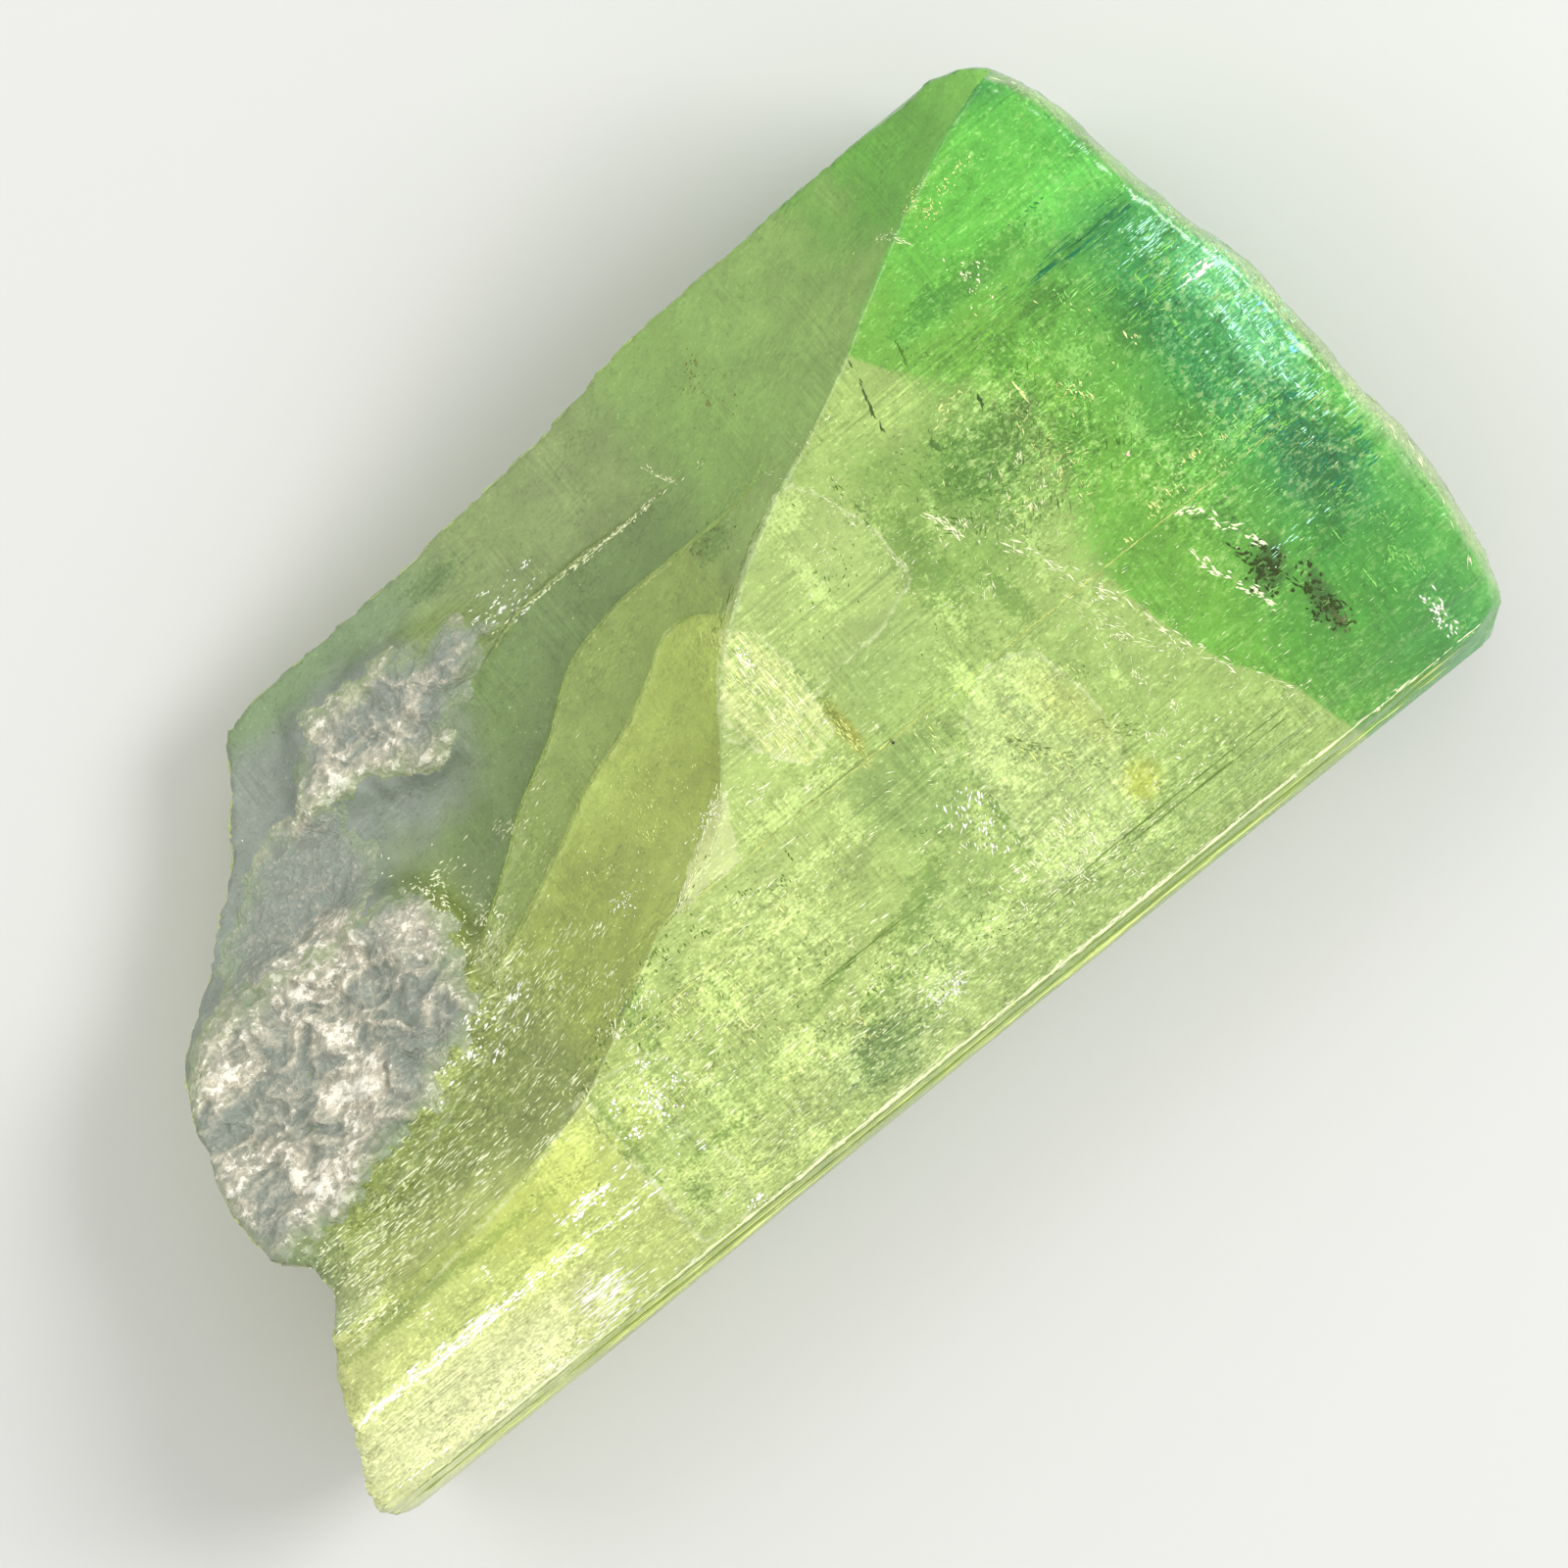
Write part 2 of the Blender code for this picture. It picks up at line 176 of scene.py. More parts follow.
def rise(low, high, x):
    """0 below low, 1 above high, and a soft rise between them."""
    t = np.clip((x - low) / (high - low), 0.0, 1.0)
    return t * t * (3 - 2 * t)


def fall(low, high, x):
    return 1 - rise(low, high, x)


def between(low, full, fading, high, x):
    """1 from full to fading, and a soft fall to 0 at low and at high."""
    return rise(low, full, x) * fall(fading, high, x)


def grain(points, scale, seed):
    """Smooth noise between -1 and 1 at each point, stretched by a scale for each axis."""
    moved = points * np.array(scale) + np.array((seed * 17.3, seed * 5.1, seed * 9.7))
    return np.array([noise.noise(point) for point in moved.tolist()])


def kinds_of_surface(uvw, facing):
    """Weights of the kinds of surface at points of the drawing with these directions."""
    u, v, _ = uvw.T
    beyond = v - curve_at(RIDGE, u)
    broken = rise(0.15, 0.45, facing[:, 2]) * rise(-0.02, 0.05, beyond)
    splintery = broken * between(1.0, 3.0, 9.5, 14.0, u) * fall(3.4, 5.2, beyond)
    tip = rise(0.55, 0.85, facing[:, 0]) * rise(24.0, 26.0, u)
    base = rise(0.3, 0.6, -facing[:, 0]) * fall(8.5, 10.0, u)
    prism = np.clip(1 - broken - tip - base, 0.0, 1.0)
    return {"broken": broken, "splintery": splintery, "tip": tip, "base": base, "prism": prism}


position = array_of(crystal.data.vertices, "co")
direction = array_of(crystal.data.vertices, "normal")
uvw = position + CORNER
kinds = kinds_of_surface(uvw, direction)
print({name: int(weight.sum()) for name, weight in kinds.items()})

# %% [markdown]
# ## Relief
# A tourmaline prism is covered with striations: narrow steps that run its whole length. Noise that is
# stretched along u and tight across it gives such steps, on every side of the prism. They are deeper on
# the sides, where the light only grazes them. The break is shell-like, so it gets slow waves, and short
# grooves where it is splintery. Each ledge keeps a small raised lip, as glass does where it flakes. Each
# term is a height in millimetres.

# %% Move the skin
LEDGES = {  # outline, and the places along u where it starts, is full, fades and ends
    "inner": (INNER_LEDGE, (8.2, 9.2, 16.0, 16.8)),
    "outer": (OUTER_LEDGE, (8.2, 9.4, 17.5, 19.0)),
    "straight": (STRAIGHT_LEDGE, (12.2, 13.0, 17.2, 17.9)),
}
LIP_PLACE, LIP_WIDTH, LIP_HEIGHT = -0.06, 0.05, 0.035
KNOB_U, KNOB_V, KNOB_SPREAD, KNOB_HEIGHT = 27.6, 15.8, 0.3, 0.18  # the worn corner beyond the ridge
SHARP_FROM = math.radians(38)
u_here, v_here = uvw[:, 0], uvw[:, 1]
fray = 0.05 * grain(uvw, (5.0, 2.0, 0.1), 22) + 0.04 * grain(uvw, (1.6, 1.0, 0.1), 23)
past_ledge = {name: v_here - curve_at(outline, u_here) + fray for name, (outline, _) in LEDGES.items()}
shown = {name: between(*span, u_here) for name, (_, span) in LEDGES.items()}
lips = [shown[name] * np.exp(-((past_ledge[name] - LIP_PLACE) / LIP_WIDTH) ** 2) for name in LEDGES]

face_up = rise(0.2, 0.5, direction[:, 2])
on_side = 1 + 1.8 * (1 - face_up)
relief = kinds["prism"] * on_side * (
    0.014 * grain(uvw, (0.05, 3.2, 3.2), 1) - 0.018 * np.abs(grain(uvw, (0.07, 1.9, 1.9), 2))
    + 0.012 * np.abs(grain(uvw, (0.03, 0.8, 0.8), 12))
)
relief += kinds["broken"] * (
    0.03 * grain(uvw, (0.9, 0.9, 0.9), 4) + 0.012 * grain(uvw, (2.6, 2.6, 2.6), 5)
    + LIP_HEIGHT * np.maximum.reduce(lips)
)
relief += kinds["splintery"] * (
    0.075 * np.abs(grain(uvw, (0.3, 2.1, 1.0), 6)) + 0.05 * np.abs(grain(uvw, (0.8, 4.2, 2.0), 7)) - 0.03
)
relief += kinds["tip"] * (0.07 * grain(uvw, (0.8, 0.9, 0.9), 8) + 0.05 * grain(uvw, (2.4, 2.8, 2.8), 9))
relief += kinds["base"] * (0.1 * grain(uvw, (0.7, 1.6, 1.6), 10) + 0.06 * grain(uvw, (0.9, 4.5, 4.5), 11))
relief += KNOB_HEIGHT * np.exp(-((u_here - KNOB_U) ** 2 + (v_here - KNOB_V) ** 2) / KNOB_SPREAD)
moved = position + direction * relief[:, None]
moved[:, 2] = np.maximum(moved[:, 2], 0.0)
crystal.data.vertices.foreach_set("co", (moved * MM).astype(np.float32).ravel())
crystal.data.update()
crystal.data.shade_smooth()
crystal.data.set_sharp_from_angle(angle=SHARP_FROM)
print("relief from", round(relief.min(), 3), "to", round(relief.max(), 3), "mm")

# %% [markdown]
# ## Colour zones
# Tourmaline changes colour as it grows. This one goes from pale yellow-green at the base, through grass
# green, to blue-green near the termination. The change is sharp at a slanting curtain inside the crystal,
# so each point gets two colours, one for each side of the curtain, and the material chooses between them
# later. A few soft washes add what is local: clear dark spots, cloudy bright ones, and a yellow stain.

# %% Mix the colours of each point


def colour(red, green, blue):
    """A screen colour of 0 to 255 as the linear values that materials use."""
    shares = np.array((red, green, blue)) / 255.0
    return np.where(shares <= 0.04045, shares / 12.92, ((shares + 0.055) / 1.055) ** 2.4)


BEFORE_CURTAIN = [  # u, colour of the crystal there
    (0.0, (232, 240, 164)),
    (3.0, (218, 232, 138)),
    (6.0, (206, 222, 118)),
    (8.5, (204, 222, 124)),
    (10.5, (192, 214, 118)),
    (14.0, (196, 218, 126)),
    (18.0, (178, 206, 112)),
    (30.0, (176, 210, 112)),
]
BEYOND_CURTAIN = [
    (20.0, (138, 200, 76)),
    (25.0, (120, 190, 60)),
    (26.5, (98, 180, 64)),
    (27.5, (72, 172, 72)),
    (28.5, (72, 174, 80)),
    (29.4, (104, 196, 84)),
    (30.2, (190, 220, 160)),
]


def along_colour(stations, u):
    places, shades = [place for place, _ in stations], [colour(*shade) for _, shade in stations]
    return np.stack([np.interp(u, places, [shade[k] for shade in shades]) for k in range(3)], axis=1)


WASHES = [  # colour, centre (u, v), half sizes, turn in degrees, softness, strength
    ((250, 254, 190), (2.6, 1.1), (3.4, 0.9), 0, 0.6, 0.9),
    ((180, 194, 100), (3.8, 4.0), (2.8, 0.75), 0, 0.35, 0.95),
    ((186, 192, 118), (0.9, 3.2), (1.5, 0.9), 0, 0.5, 0.7),
    ((212, 226, 104), (6.9, 3.4), (1.8, 0.8), 0, 0.5, 0.7),
    ((146, 176, 98), (13.9, 1.4), (1.1, 0.7), 0, 0.6, 0.8),
    ((160, 190, 104), (10.6, 2.7), (1.6, 0.35), 0, 0.6, 0.5),
    ((152, 184, 98), (17.8, 5.1), (1.1, 1.0), 20, 0.5, 0.8),
    ((160, 190, 106), (16.5, 2.4), (1.5, 0.7), 30, 0.6, 0.5),
    ((174, 170, 52), (17.4, 6.9), (0.14, 0.7), 0, 0.5, 0.8),
    ((164, 190, 108), (18.9, 7.6), (1.2, 0.8), 0, 0.5, 0.6),
    ((146, 184, 86), (21.4, 8.9), (0.8, 2.0), 8, 0.5, 0.85),
    ((116, 170, 64), (22.98, 9.3), (1.3, 1.5), 0, 0.6, 0.85),
    ((200, 206, 74), (21.4, 2.3), (0.4, 0.4), 12, 0.5, 0.65),
    ((192, 204, 84), (21.2, 4.4), (0.35, 1.0), 18, 0.6, 0.5),
    ((112, 214, 72), (26.6, 13.5), (2.6, 1.3), 15, 0.6, 0.8),
    ((110, 190, 70), (25.6, 12.3), (2.6, 0.35), 0, 0.3, 0.7),
    ((112, 216, 84), (27.9, 12.3), (1.4, 0.6), 0, 0.5, 0.8),
    ((56, 158, 78), (27.7, 8.6), (0.7, 2.8), 0, 0.5, 0.8),
    ((112, 214, 136), (28.9, 8.8), (0.6, 2.0), 0, 0.5, 0.8),
    ((52, 142, 78), (28.1, 5.0), (0.8, 1.5), 0, 0.5, 0.85),
    ((86, 170, 52), (27.0, 2.4), (2.0, 1.8), 0, 0.6, 0.7),
    ((64, 110, 34), (26.1, 4.1), (0.34, 0.55), -40, 0.5, 0.85),
    ((66, 108, 38), (26.55, 2.9), (0.24, 0.7), -12, 0.5, 0.85),
]


def wash_weight(uvw, centre, half, turn, softness, wander):
    """1 inside a turned ellipse, 0 outside, with a soft edge that wanders."""
    du, dv = uvw[:, 0] - centre[0], uvw[:, 1] - centre[1]
    c, s = math.cos(math.radians(turn)), math.sin(math.radians(turn))
    distance = np.hypot((du * c + dv * s) / half[0], (dv * c - du * s) / half[1])
    return fall(1 - softness, 1 + softness, distance + 0.35 * wander)


def painted_over(ground, layers):
    """The ground's colours with others over them, each by its own weight at each point."""
    for tint, weight in layers:
        ground, tint = [colour(*paint) if isinstance(paint, tuple) else paint for paint in (ground, tint)]
        ground = ground + (tint - ground) * np.clip(weight, 0, 1)[:, None]
    return ground


def washed(ground, washes):
    return painted_over(ground, [(tint, strength * wash_weight(uvw, centre, half, turn, softness, wander))
                                 for tint, centre, half, turn, softness, strength in washes])


CURTAIN_U = 23.0  # washes past this place belong to the side beyond the curtain
wander = grain(uvw, (0.9, 0.9, 0.4), 20) + 0.6 * grain(uvw, (2.6, 2.6, 1.2), 21)
before = washed(along_colour(BEFORE_CURTAIN, u_here + 0.4 * wander),
                [wash for wash in WASHES if wash[1][0] < CURTAIN_U])
beyond = washed(along_colour(BEYOND_CURTAIN, u_here + 0.3 * wander),
                [wash for wash in WASHES if wash[1][0] >= CURTAIN_U])
print("mean colours", before.mean(axis=0).round(2), beyond.mean(axis=0).round(2))

# %% [markdown]
# ## The dull, shaded break
# The break is covered with fine frost. Its colour is painted greyer and darker, more so the further it
# lies from the ridge: partly the frost's own grey, partly painted shade. Its terraces near the ridge are
# thinner skins of the same stone, and stay yellower. The change of colour lies exactly on each ledge,
# which is what makes the thin layers easy to see.

# %% Colour the break
steps = {name: rise(-0.03, 0.03, away) for name, away in past_ledge.items()}
terraces = painted_over((170, 188, 84), [
    ((188, 208, 98), rise(7.8, 9.2, v_here)),
    ((158, 180, 90), steps["inner"]),
    ((128, 154, 86), steps["outer"]),
    ((148, 170, 100), steps["straight"]),
])
far_part = painted_over((152, 188, 96), [
    ((154, 182, 98), (1 - steps["outer"]) * fall(19.0, 20.5, u_here)),
])
lilac_from = 8.5 + 1.6 * rise(7.0, 9.0, u_here)
lilac = fall(10.4, 12.0, u_here + 0.5 * wander) * rise(0.0, 1.6, v_here + 0.4 * wander - lilac_from)
# colour of the break: the frost's own grey with painted shade, darker further from the ridge
dull = painted_over((148, 164, 82), [
    ((128, 148, 92), rise(9.0, 10.5, v_here)),
    (terraces, between(8.5, 10.0, 17.0, 18.5, u_here)),
    (far_part, rise(17.0, 18.4, u_here + 0.3 * wander)),
    ((114, 186, 62), rise(22.0, 25.0, u_here + 0.8 * wander)),
    ((134, 206, 80), rise(25.8, 27.4, u_here + 0.4 * wander)),
    ((190, 202, 114), fall(5.5, 8.5, u_here) * fall(4.2, 5.0, v_here + 0.2 * wander)),
    ((150, 160, 146), lilac),
    ((134, 160, 112), rise(13.9, 14.7, v_here + 0.2 * wander) * fall(11, 14, u_here)),
    ((132, 150, 118), 0.8 * fall(1.4, 3.4, u_here)),
])
pale_rim = kinds["tip"] * (0.12 + 0.4 * rise(-0.05, 0.3, direction[:, 2]))
before, beyond = [painted_over(side, [((206, 214, 170), pale_rim)]) for side in (before, beyond)]
print("mean colour of the break", dull.mean(axis=0).round(2))

# %% [markdown]
# ## Sharp outlines inside the crystal
# Healed cracks and growth sectors show as patches of slightly different brightness, with a crisp edge.
# Points of the skin are too far apart to paint such an edge. Instead each point stores its distance to
# the outline, above zero on the inside. That varies evenly, so the material can cut it at zero and get an
# edge as thin as a pixel. The ledges are kept the same way. Beyond its two ends a ledge is moved 3 mm
# off, so no line is drawn there.

# %% Measure the distance to each outline
# v and u of the curtain
CURTAIN = [(-2.0, 26.6), (0.9, 25.3), (1.9, 25.0), (3.2, 24.2), (5.0, 23.6), (6.4, 23.4), (7.7, 23.8),
           (9.0, 24.2), (10.0, 24.0), (11.0, 23.2), (12.0, 22.5), (12.6, 22.15), (18.0, 22.0)]
PANES = {
    "base block": [(-1.0, 0.5), (8.55, 0.5), (8.6, 2.4), (8.45, 3.4), (8.65, 4.5), (6.8, 3.9), (4.0, 3.5),
                   (-1.0, 3.3)],
    "lens": [(18.6, 1.7), (18.85, 3.2), (18.9, 4.6), (19.5, 5.7), (20.4, 6.1), (21.3, 5.8), (21.6, 4.6),
             (21.65, 3.4), (21.2, 2.5), (20.6, 1.7)],
    "arc": [(15.4, 8.3), (17.0, 10.2), (19.2, 11.4), (19.6, 11.35), (20.0, 10.7), (20.35, 9.5),
            (20.3, 8.4), (19.2, 8.0), (17.6, 7.9), (16.0, 7.3)],
    "sliver": [(12.4, 6.15), (14.1, 6.2), (14.7, 7.4), (14.3, 7.3), (13.3, 6.75)],
    "yellow patch": [(15.6, 8.7), (15.8, 7.6), (16.4, 6.8), (17.2, 7.0), (17.35, 8.6), (17.2, 9.5),
                     (16.7, 10.0)],
    "dark block": [(8.65, 0.6), (9.9, 0.5), (10.2, 1.5), (9.7, 2.9), (10.6, 3.4), (10.3, 4.3),
                   (8.7, 4.6)],
}
HIDDEN_SHIFT = 3.0


def inside_by(outline, uv):
    """Distance of each point to a closed outline: above zero inside it, below zero outside."""
    nearest, inside = np.full(len(uv), 1e9), np.zeros(len(uv), bool)
    for a, b in zip(outline, outline[1:] + outline[:1]):
        a, b = np.array(a), np.array(b)
        share = np.clip((uv - a) @ (b - a) / ((b - a) @ (b - a)), 0.0, 1.0)
        nearest = np.minimum(nearest, np.linalg.norm(uv - a - share[:, None] * (b - a), axis=1))
        spans = (a[1] > uv[:, 1]) != (b[1] > uv[:, 1])
        if a[1] != b[1]:
            inside ^= spans & (uv[:, 0] < a[0] + (uv[:, 1] - a[1]) / (b[1] - a[1]) * (b[0] - a[0]))
    return np.where(inside, nearest, -nearest)


def paint_points(mesh, **painted):
    """Stores a value or three values for each point of a mesh, under the name given."""
    for name, values in painted.items():
        if values.ndim == 1:
            kind, field = "FLOAT", "value"
        else:
            kind, field = "FLOAT_COLOR", "color"
            values = np.concatenate([values, np.ones((len(values), 1))], axis=1)
        made = mesh.attributes.new(name, kind, "POINT")
        made.data.foreach_set(field, values.astype(np.float32).ravel())


edge_softness = 0.06 + 0.6 * between(5.4, 7.2, 10.4, 12.2, v_here)
past_curtain = (u_here - curve_at(CURTAIN, v_here)) * 0.85 / edge_softness
distances = [inside_by(outline, uvw[:, :2]) for outline in PANES.values()]
ledge_distances = [past_ledge[name] + HIDDEN_SHIFT * np.sign(past_ledge[name]) * (1 - shown[name])
                   for name in LEDGES]
paint_points(crystal.data, before=before, beyond=beyond, dull=dull,
             ledges=np.stack(ledge_distances, axis=1), curtain=np.clip(past_curtain, -40, 40),
             panes=np.stack(distances[:3], axis=1), chips=np.stack(distances[3:], axis=1),
             broken=kinds["broken"], splintery=kinds["splintery"])
print("outlines", list(PANES), "and", len(ledge_distances), "ledges")

# %% [markdown]
# ## Mottles and patches
# The inside of the crystal is cloudy in places. Slow noise, and blocks that follow the cleavage
# directions, make uneven mottles all over. What lies in one place only, such as a bright cloud, a clear
# dark spot or a busy, glittering part, is a short row in a list: a turned ellipse with a soft, wandering
# edge. The material breaks these ellipses up with fine grains later, so they never look like discs.
# Streaks run along u, and on the sides of the prism nothing else is seen.

# %% Paint the mottles and the patches
CROSSED_PARTS = [((20.0, 3.0), (1.7, 2.8)), ((11.2, 3.0), (2.4, 1.9)), ((28.6, 8.4), (1.3, 2.6))]
slow = grain(uvw, (0.8, 1.1, 1.1), 40) + 0.6 * grain(uvw, (1.9, 2.4, 2.4), 41)
bent_u, bent_v = u_here * 1.1 + 0.5 * slow, v_here * 1.4 + 0.4 * slow
block = np.sin(12.9 * np.floor(bent_u) + 78.2 * np.floor(bent_v)) * 43758.5
mottle = slow + 0.5 * (block - np.floor(block) - 0.5)
streaky = np.maximum(rise(-0.1, 0.5, grain(uvw, (0.22, 1.3, 1.3), 42)), kinds["prism"] * (1 - face_up))
crossed = rise(0.05, 0.45, grain(uvw, (0.8, 0.5, 0.5), 43))
for centre, half in CROSSED_PARTS:
    crossed = np.maximum(crossed, wash_weight(uvw, centre, half, 0, 0.5, wander))

BRIGHT_PATCHES = [
    # u, v, half sizes, and the turn in degrees if there is one
    (9.6, 3.8, 0.5, 0.6, 50), (8.9, 1.8, 0.25, 0.9), (9.8, 0.9, 1.1, 0.3),
    (10.8, 2.6, 0.2, 0.8, 10), (12.6, 2.5, 0.6, 0.45), (11.6, 0.8, 0.5, 0.25),
    (13.2, 1.6, 0.3, 0.6), (15.6, 1.7, 0.4, 0.5), (17.2, 1.9, 0.9, 0.3, -25),
    (18.3, 3.7, 0.2, 0.6, -25), (19.7, 2.0, 0.8, 0.5), (19.4, 4.4, 0.35, 0.65),
    (19.9, 5.9, 0.22, 0.9), (20.8, 5.2, 0.5, 0.7), (18.9, 2.4, 0.2, 0.5),
    (21.0, 1.9, 0.12, 1.0), (14.9, 5.25, 1.9, 0.1), (13.8, 4.7, 1.4, 0.14),
    (12.0, 4.2, 0.4, 0.8), (11.0, 5.5, 0.5, 0.2, 35), (13.4, 6.6, 0.7, 0.12, 28),
    (15.6, 6.4, 1.4, 0.25), (16.3, 5.4, 0.2, 0.5), (22.6, 7.3, 0.15, 0.8, -20),
    (22.3, 4.2, 0.1, 0.4), (21.4, 9.1, 0.14, 0.45, -20), (19.2, 11.0, 0.5, 0.4),
    (23.1, 1.6, 0.1, 0.5), (18.7, 9.6, 0.2, 0.9), (20.5, 7.4, 0.2, 0.6),
    (2.6, 2.2, 2.2, 0.16), (6.4, 2.2, 2.0, 0.2), (7.4, 2.8, 0.6, 0.14), (6.5, 1.0, 0.4, 0.4),
    (3.6, 0.8, 2.6, 0.3), (5.6, 1.9, 0.12, 1.0), (9.9, 1.6, 0.8, 0.5), (7.6, 3.7, 0.8, 0.5, 10),
    (27.3, 6.6, 0.7, 0.2), (28.3, 1.2, 0.14, 0.4), (25.7, 8.0, 0.3, 0.5),
    (25.6, 9.8, 0.3, 0.4, 50), (2.2, 3.9, 1.0, 0.3), (3.4, 5.1, 1.0, 0.35, 10),
    (8.6, 7.6, 1.1, 0.45, 25), (6.6, 6.5, 1.0, 0.3, 12),
]
DARK_PATCHES = [(14.0, 1.4, 0.8, 0.6), (14.7, 2.3, 0.8, 0.2), (10.5, 4.6, 0.14, 0.5, -30),
                (11.2, 3.6, 0.12, 0.2), (10.6, 5.3, 0.6, 0.18, 30), (12.1, 4.3, 0.1, 0.5),
                (16.4, 3.3, 1.2, 0.35, 30), (13.8, 3.0, 0.7, 0.12, 15), (17.4, 7.6, 0.1, 0.9),
                (20.6, 8.6, 0.5, 1.6, 5), (20.2, 3.9, 0.1, 0.8, 40), (21.6, 6.9, 0.25, 0.7, 10),
                (22.6, 9.4, 0.6, 0.7, 40), (23.8, 9.4, 0.6, 0.8, -50), (24.6, 8.6, 0.6, 0.5),
                (24.6, 10.8, 0.5, 0.35, 45), (22.3, 8.3, 0.5, 0.2, -40), (18.8, 3.2, 0.14, 0.9),
                (8.75, 3.3, 0.12, 1.2), (10.2, 2.1, 0.9, 0.14), (4.6, 3.4, 2.2, 0.14),
                (2.6, 3.3, 1.4, 0.1), (9.2, 1.5, 0.3, 0.3), (28.1, 5.2, 0.5, 1.2),
                (27.2, 11.55, 1.0, 0.08), (27.0, 9.6, 0.5, 0.8), (25.8, 11.0, 0.5, 0.3),
                (25.0, 12.4, 1.8, 0.3), (26.7, 7.4, 0.5, 0.4), (27.4, 3.9, 0.5, 0.4, 20),
                (28.9, 5.4, 0.3, 0.8), (17.7, 11.5, 0.5, 0.3, 20), (12.8, 14.6, 0.7, 0.25)]
BUSY_PARTS = [(16.0, 1.5, 8.6, 1.5), (4.0, 1.6, 4.6, 1.3), (10.0, 3.6, 1.6, 1.2),
              (20.0, 3.4, 1.8, 2.8), (16.6, 8.4, 0.9, 1.7), (23.8, 9.2, 1.5, 2.0),
              (28.4, 7.6, 1.5, 3.2), (25.8, 6.4, 0.9, 1.6), (5.6, 6.0, 4.2, 1.5, 12),
              (13.4, 4.4, 2.0, 1.4)]


def patches(rows, softness):
    """1 where any of the patches lies, 0 elsewhere."""
    cover = np.zeros(len(uvw))
    for u, v, half_u, half_v, *turn in rows:
        cover = np.maximum(cover, wash_weight(uvw, (u, v), (half_u, half_v), sum(turn), softness,
                                              0.5 * wander))
    return cover


stains = [patches(BRIGHT_PATCHES, 0.6), patches(DARK_PATCHES, 0.6), patches(BUSY_PARTS, 0.5)]
paint_points(crystal.data, mottling=np.stack([mottle, streaky, crossed], axis=1),
             stains=np.stack(stains, axis=1) * face_up[:, None])
print("painted", [attribute.name for attribute in crystal.data.attributes if attribute.name[0] != "."])

# %% [markdown]
# ## The finish of the crystal
# Tourmaline can be as clear as glass, with a refractive index of about 1.63. Light that goes through it
# loses blue and red, which a Volume Absorption does, evenly. Many small flaws scatter much of the light
# here, so most of the shader stays diffuse and carries the zones. Nodes add what is too fine for the
# skin: grains, faint striations, crisp edges, and lines along each ledge. Long lists of nodes and links
# are hard to read, so two helper classes let them be written as plain formulas: a sign between two
# signals makes the node.

# %% Helpers that write a material


class Signal:
    """What comes out of a node. A formula of signals makes the nodes that work it out."""

    def __init__(self, finish, socket):
        self.finish, self.socket = finish, socket

    def __add__(self, other):
        return self.finish.math("ADD", self, other)

    def __sub__(self, other):
        return self.finish.math("SUBTRACT", self, other)

    def __mul__(self, other):
        return self.finish.math("MULTIPLY", self, other)

    def fit(self, low, high, to_low=0.0, to_high=1.0):
        """The range from low to high, stretched to another one and held inside it."""
        return self.finish.node("MapRange", i0=self, i1=low, i2=high, i3=to_low, i4=to_high)


class Finish:
    """A material under construction: makes nodes and joins them with few words."""

    def __init__(self, name):
        self.material = bpy.data.materials.new(name)
        self.material.use_nodes = True
        self.tree = self.material.node_tree
        self.shader = self.tree.nodes["Principled BSDF"]
        self.output = self.tree.nodes["Material Output"]

    def node(self, kind, output=0, settings=None, **inputs):
        """One output of a new node. Its inputs are given by name, or as i and their number."""
        made = self.tree.nodes.new("ShaderNode" + kind)
        for key, value in (settings or {}).items():
            setattr(made, key, value)
        for key, value in inputs.items():
            numbered = key[0] == "i" and key[1:].isdigit()
            self.feed(made.inputs[int(key[1:]) if numbered else key], value)
        return Signal(self, made.outputs[output])

    def feed(self, socket, value):
        if isinstance(value, Signal):
            self.tree.links.new(value.socket, socket)
        else:
            socket.default_value = value

    def place(self, scale, seed=(0.0, 0.0, 0.0)):
        """Object coordinates with a number of units per millimetre along each axis."""
        here = self.node("TexCoord", "Object")
        return self.node("Mapping", i0=here, i1=seed, i3=[s / MM for s in scale])

    def spots(self, scale, detail=4.0, roughness=0.55, seed=(0.0, 0.0, 0.0)):
        return self.node("TexNoise", i0=self.place(scale, seed), Scale=1.0, Detail=detail,
                         Roughness=roughness)

    def blocks(self, scale, bend, seed=(0.0, 0.0, 0.0)):
        """A different value in each of many square-cornered cells, which another pattern bends."""
        bent = self.vector("ADD", bend, self.place(scale, seed))
        cells = self.node("TexVoronoi", 1, {"distance": "CHEBYCHEV"}, i0=bent, Scale=1.0)
        return self.channels(cells)[0]

    def math(self, kind, first, second=0.0):
        return self.node("Math", 0, {"operation": kind}, i0=first, i1=second)

    def vector(self, kind, first, second=(0.0, 0.0, 0.0), output=0):
        return self.node("VectorMath", output, {"operation": kind}, i0=first, i1=second)

    def mix(self, weight, first, second, blend="MIX"):
        settings = {"data_type": "RGBA", "blend_type": blend}
        return self.node("Mix", 2, settings, i0=weight, i6=first, i7=second)

    def grey(self, value):
        return self.node("CombineColor", i0=value, i1=value, i2=value)

    def channels(self, mixed):
        split = self.node("SeparateColor", i0=mixed).socket.node
        return [Signal(self, output) for output in split.outputs[:3]]

    def painted(self, name, output="Fac"):
        """What the points store under a name: one value, or a colour or vector if asked for."""
        return self.node("Attribute", output, {"attribute_name": name})

    def set(self, **values):
        for key, value in values.items():
            self.feed(self.shader.inputs[key.replace("_", " ")], value)


def shade(red, green, blue):
    return (*colour(red, green, blue), 1.0)


# %% [markdown]
# ## Zones and grains
# The zones that the points carry are soft, and noise frays the curtain and the ridge, so that these
# borders don't look cut. Grains of two sizes, striations along u, lines across it and small blocks then
# change the brightness a little, and more so in the busy parts. Bright and dark patches come last. Noise
# is added to their soft weight before it is cut, which breaks their edge up into grains.

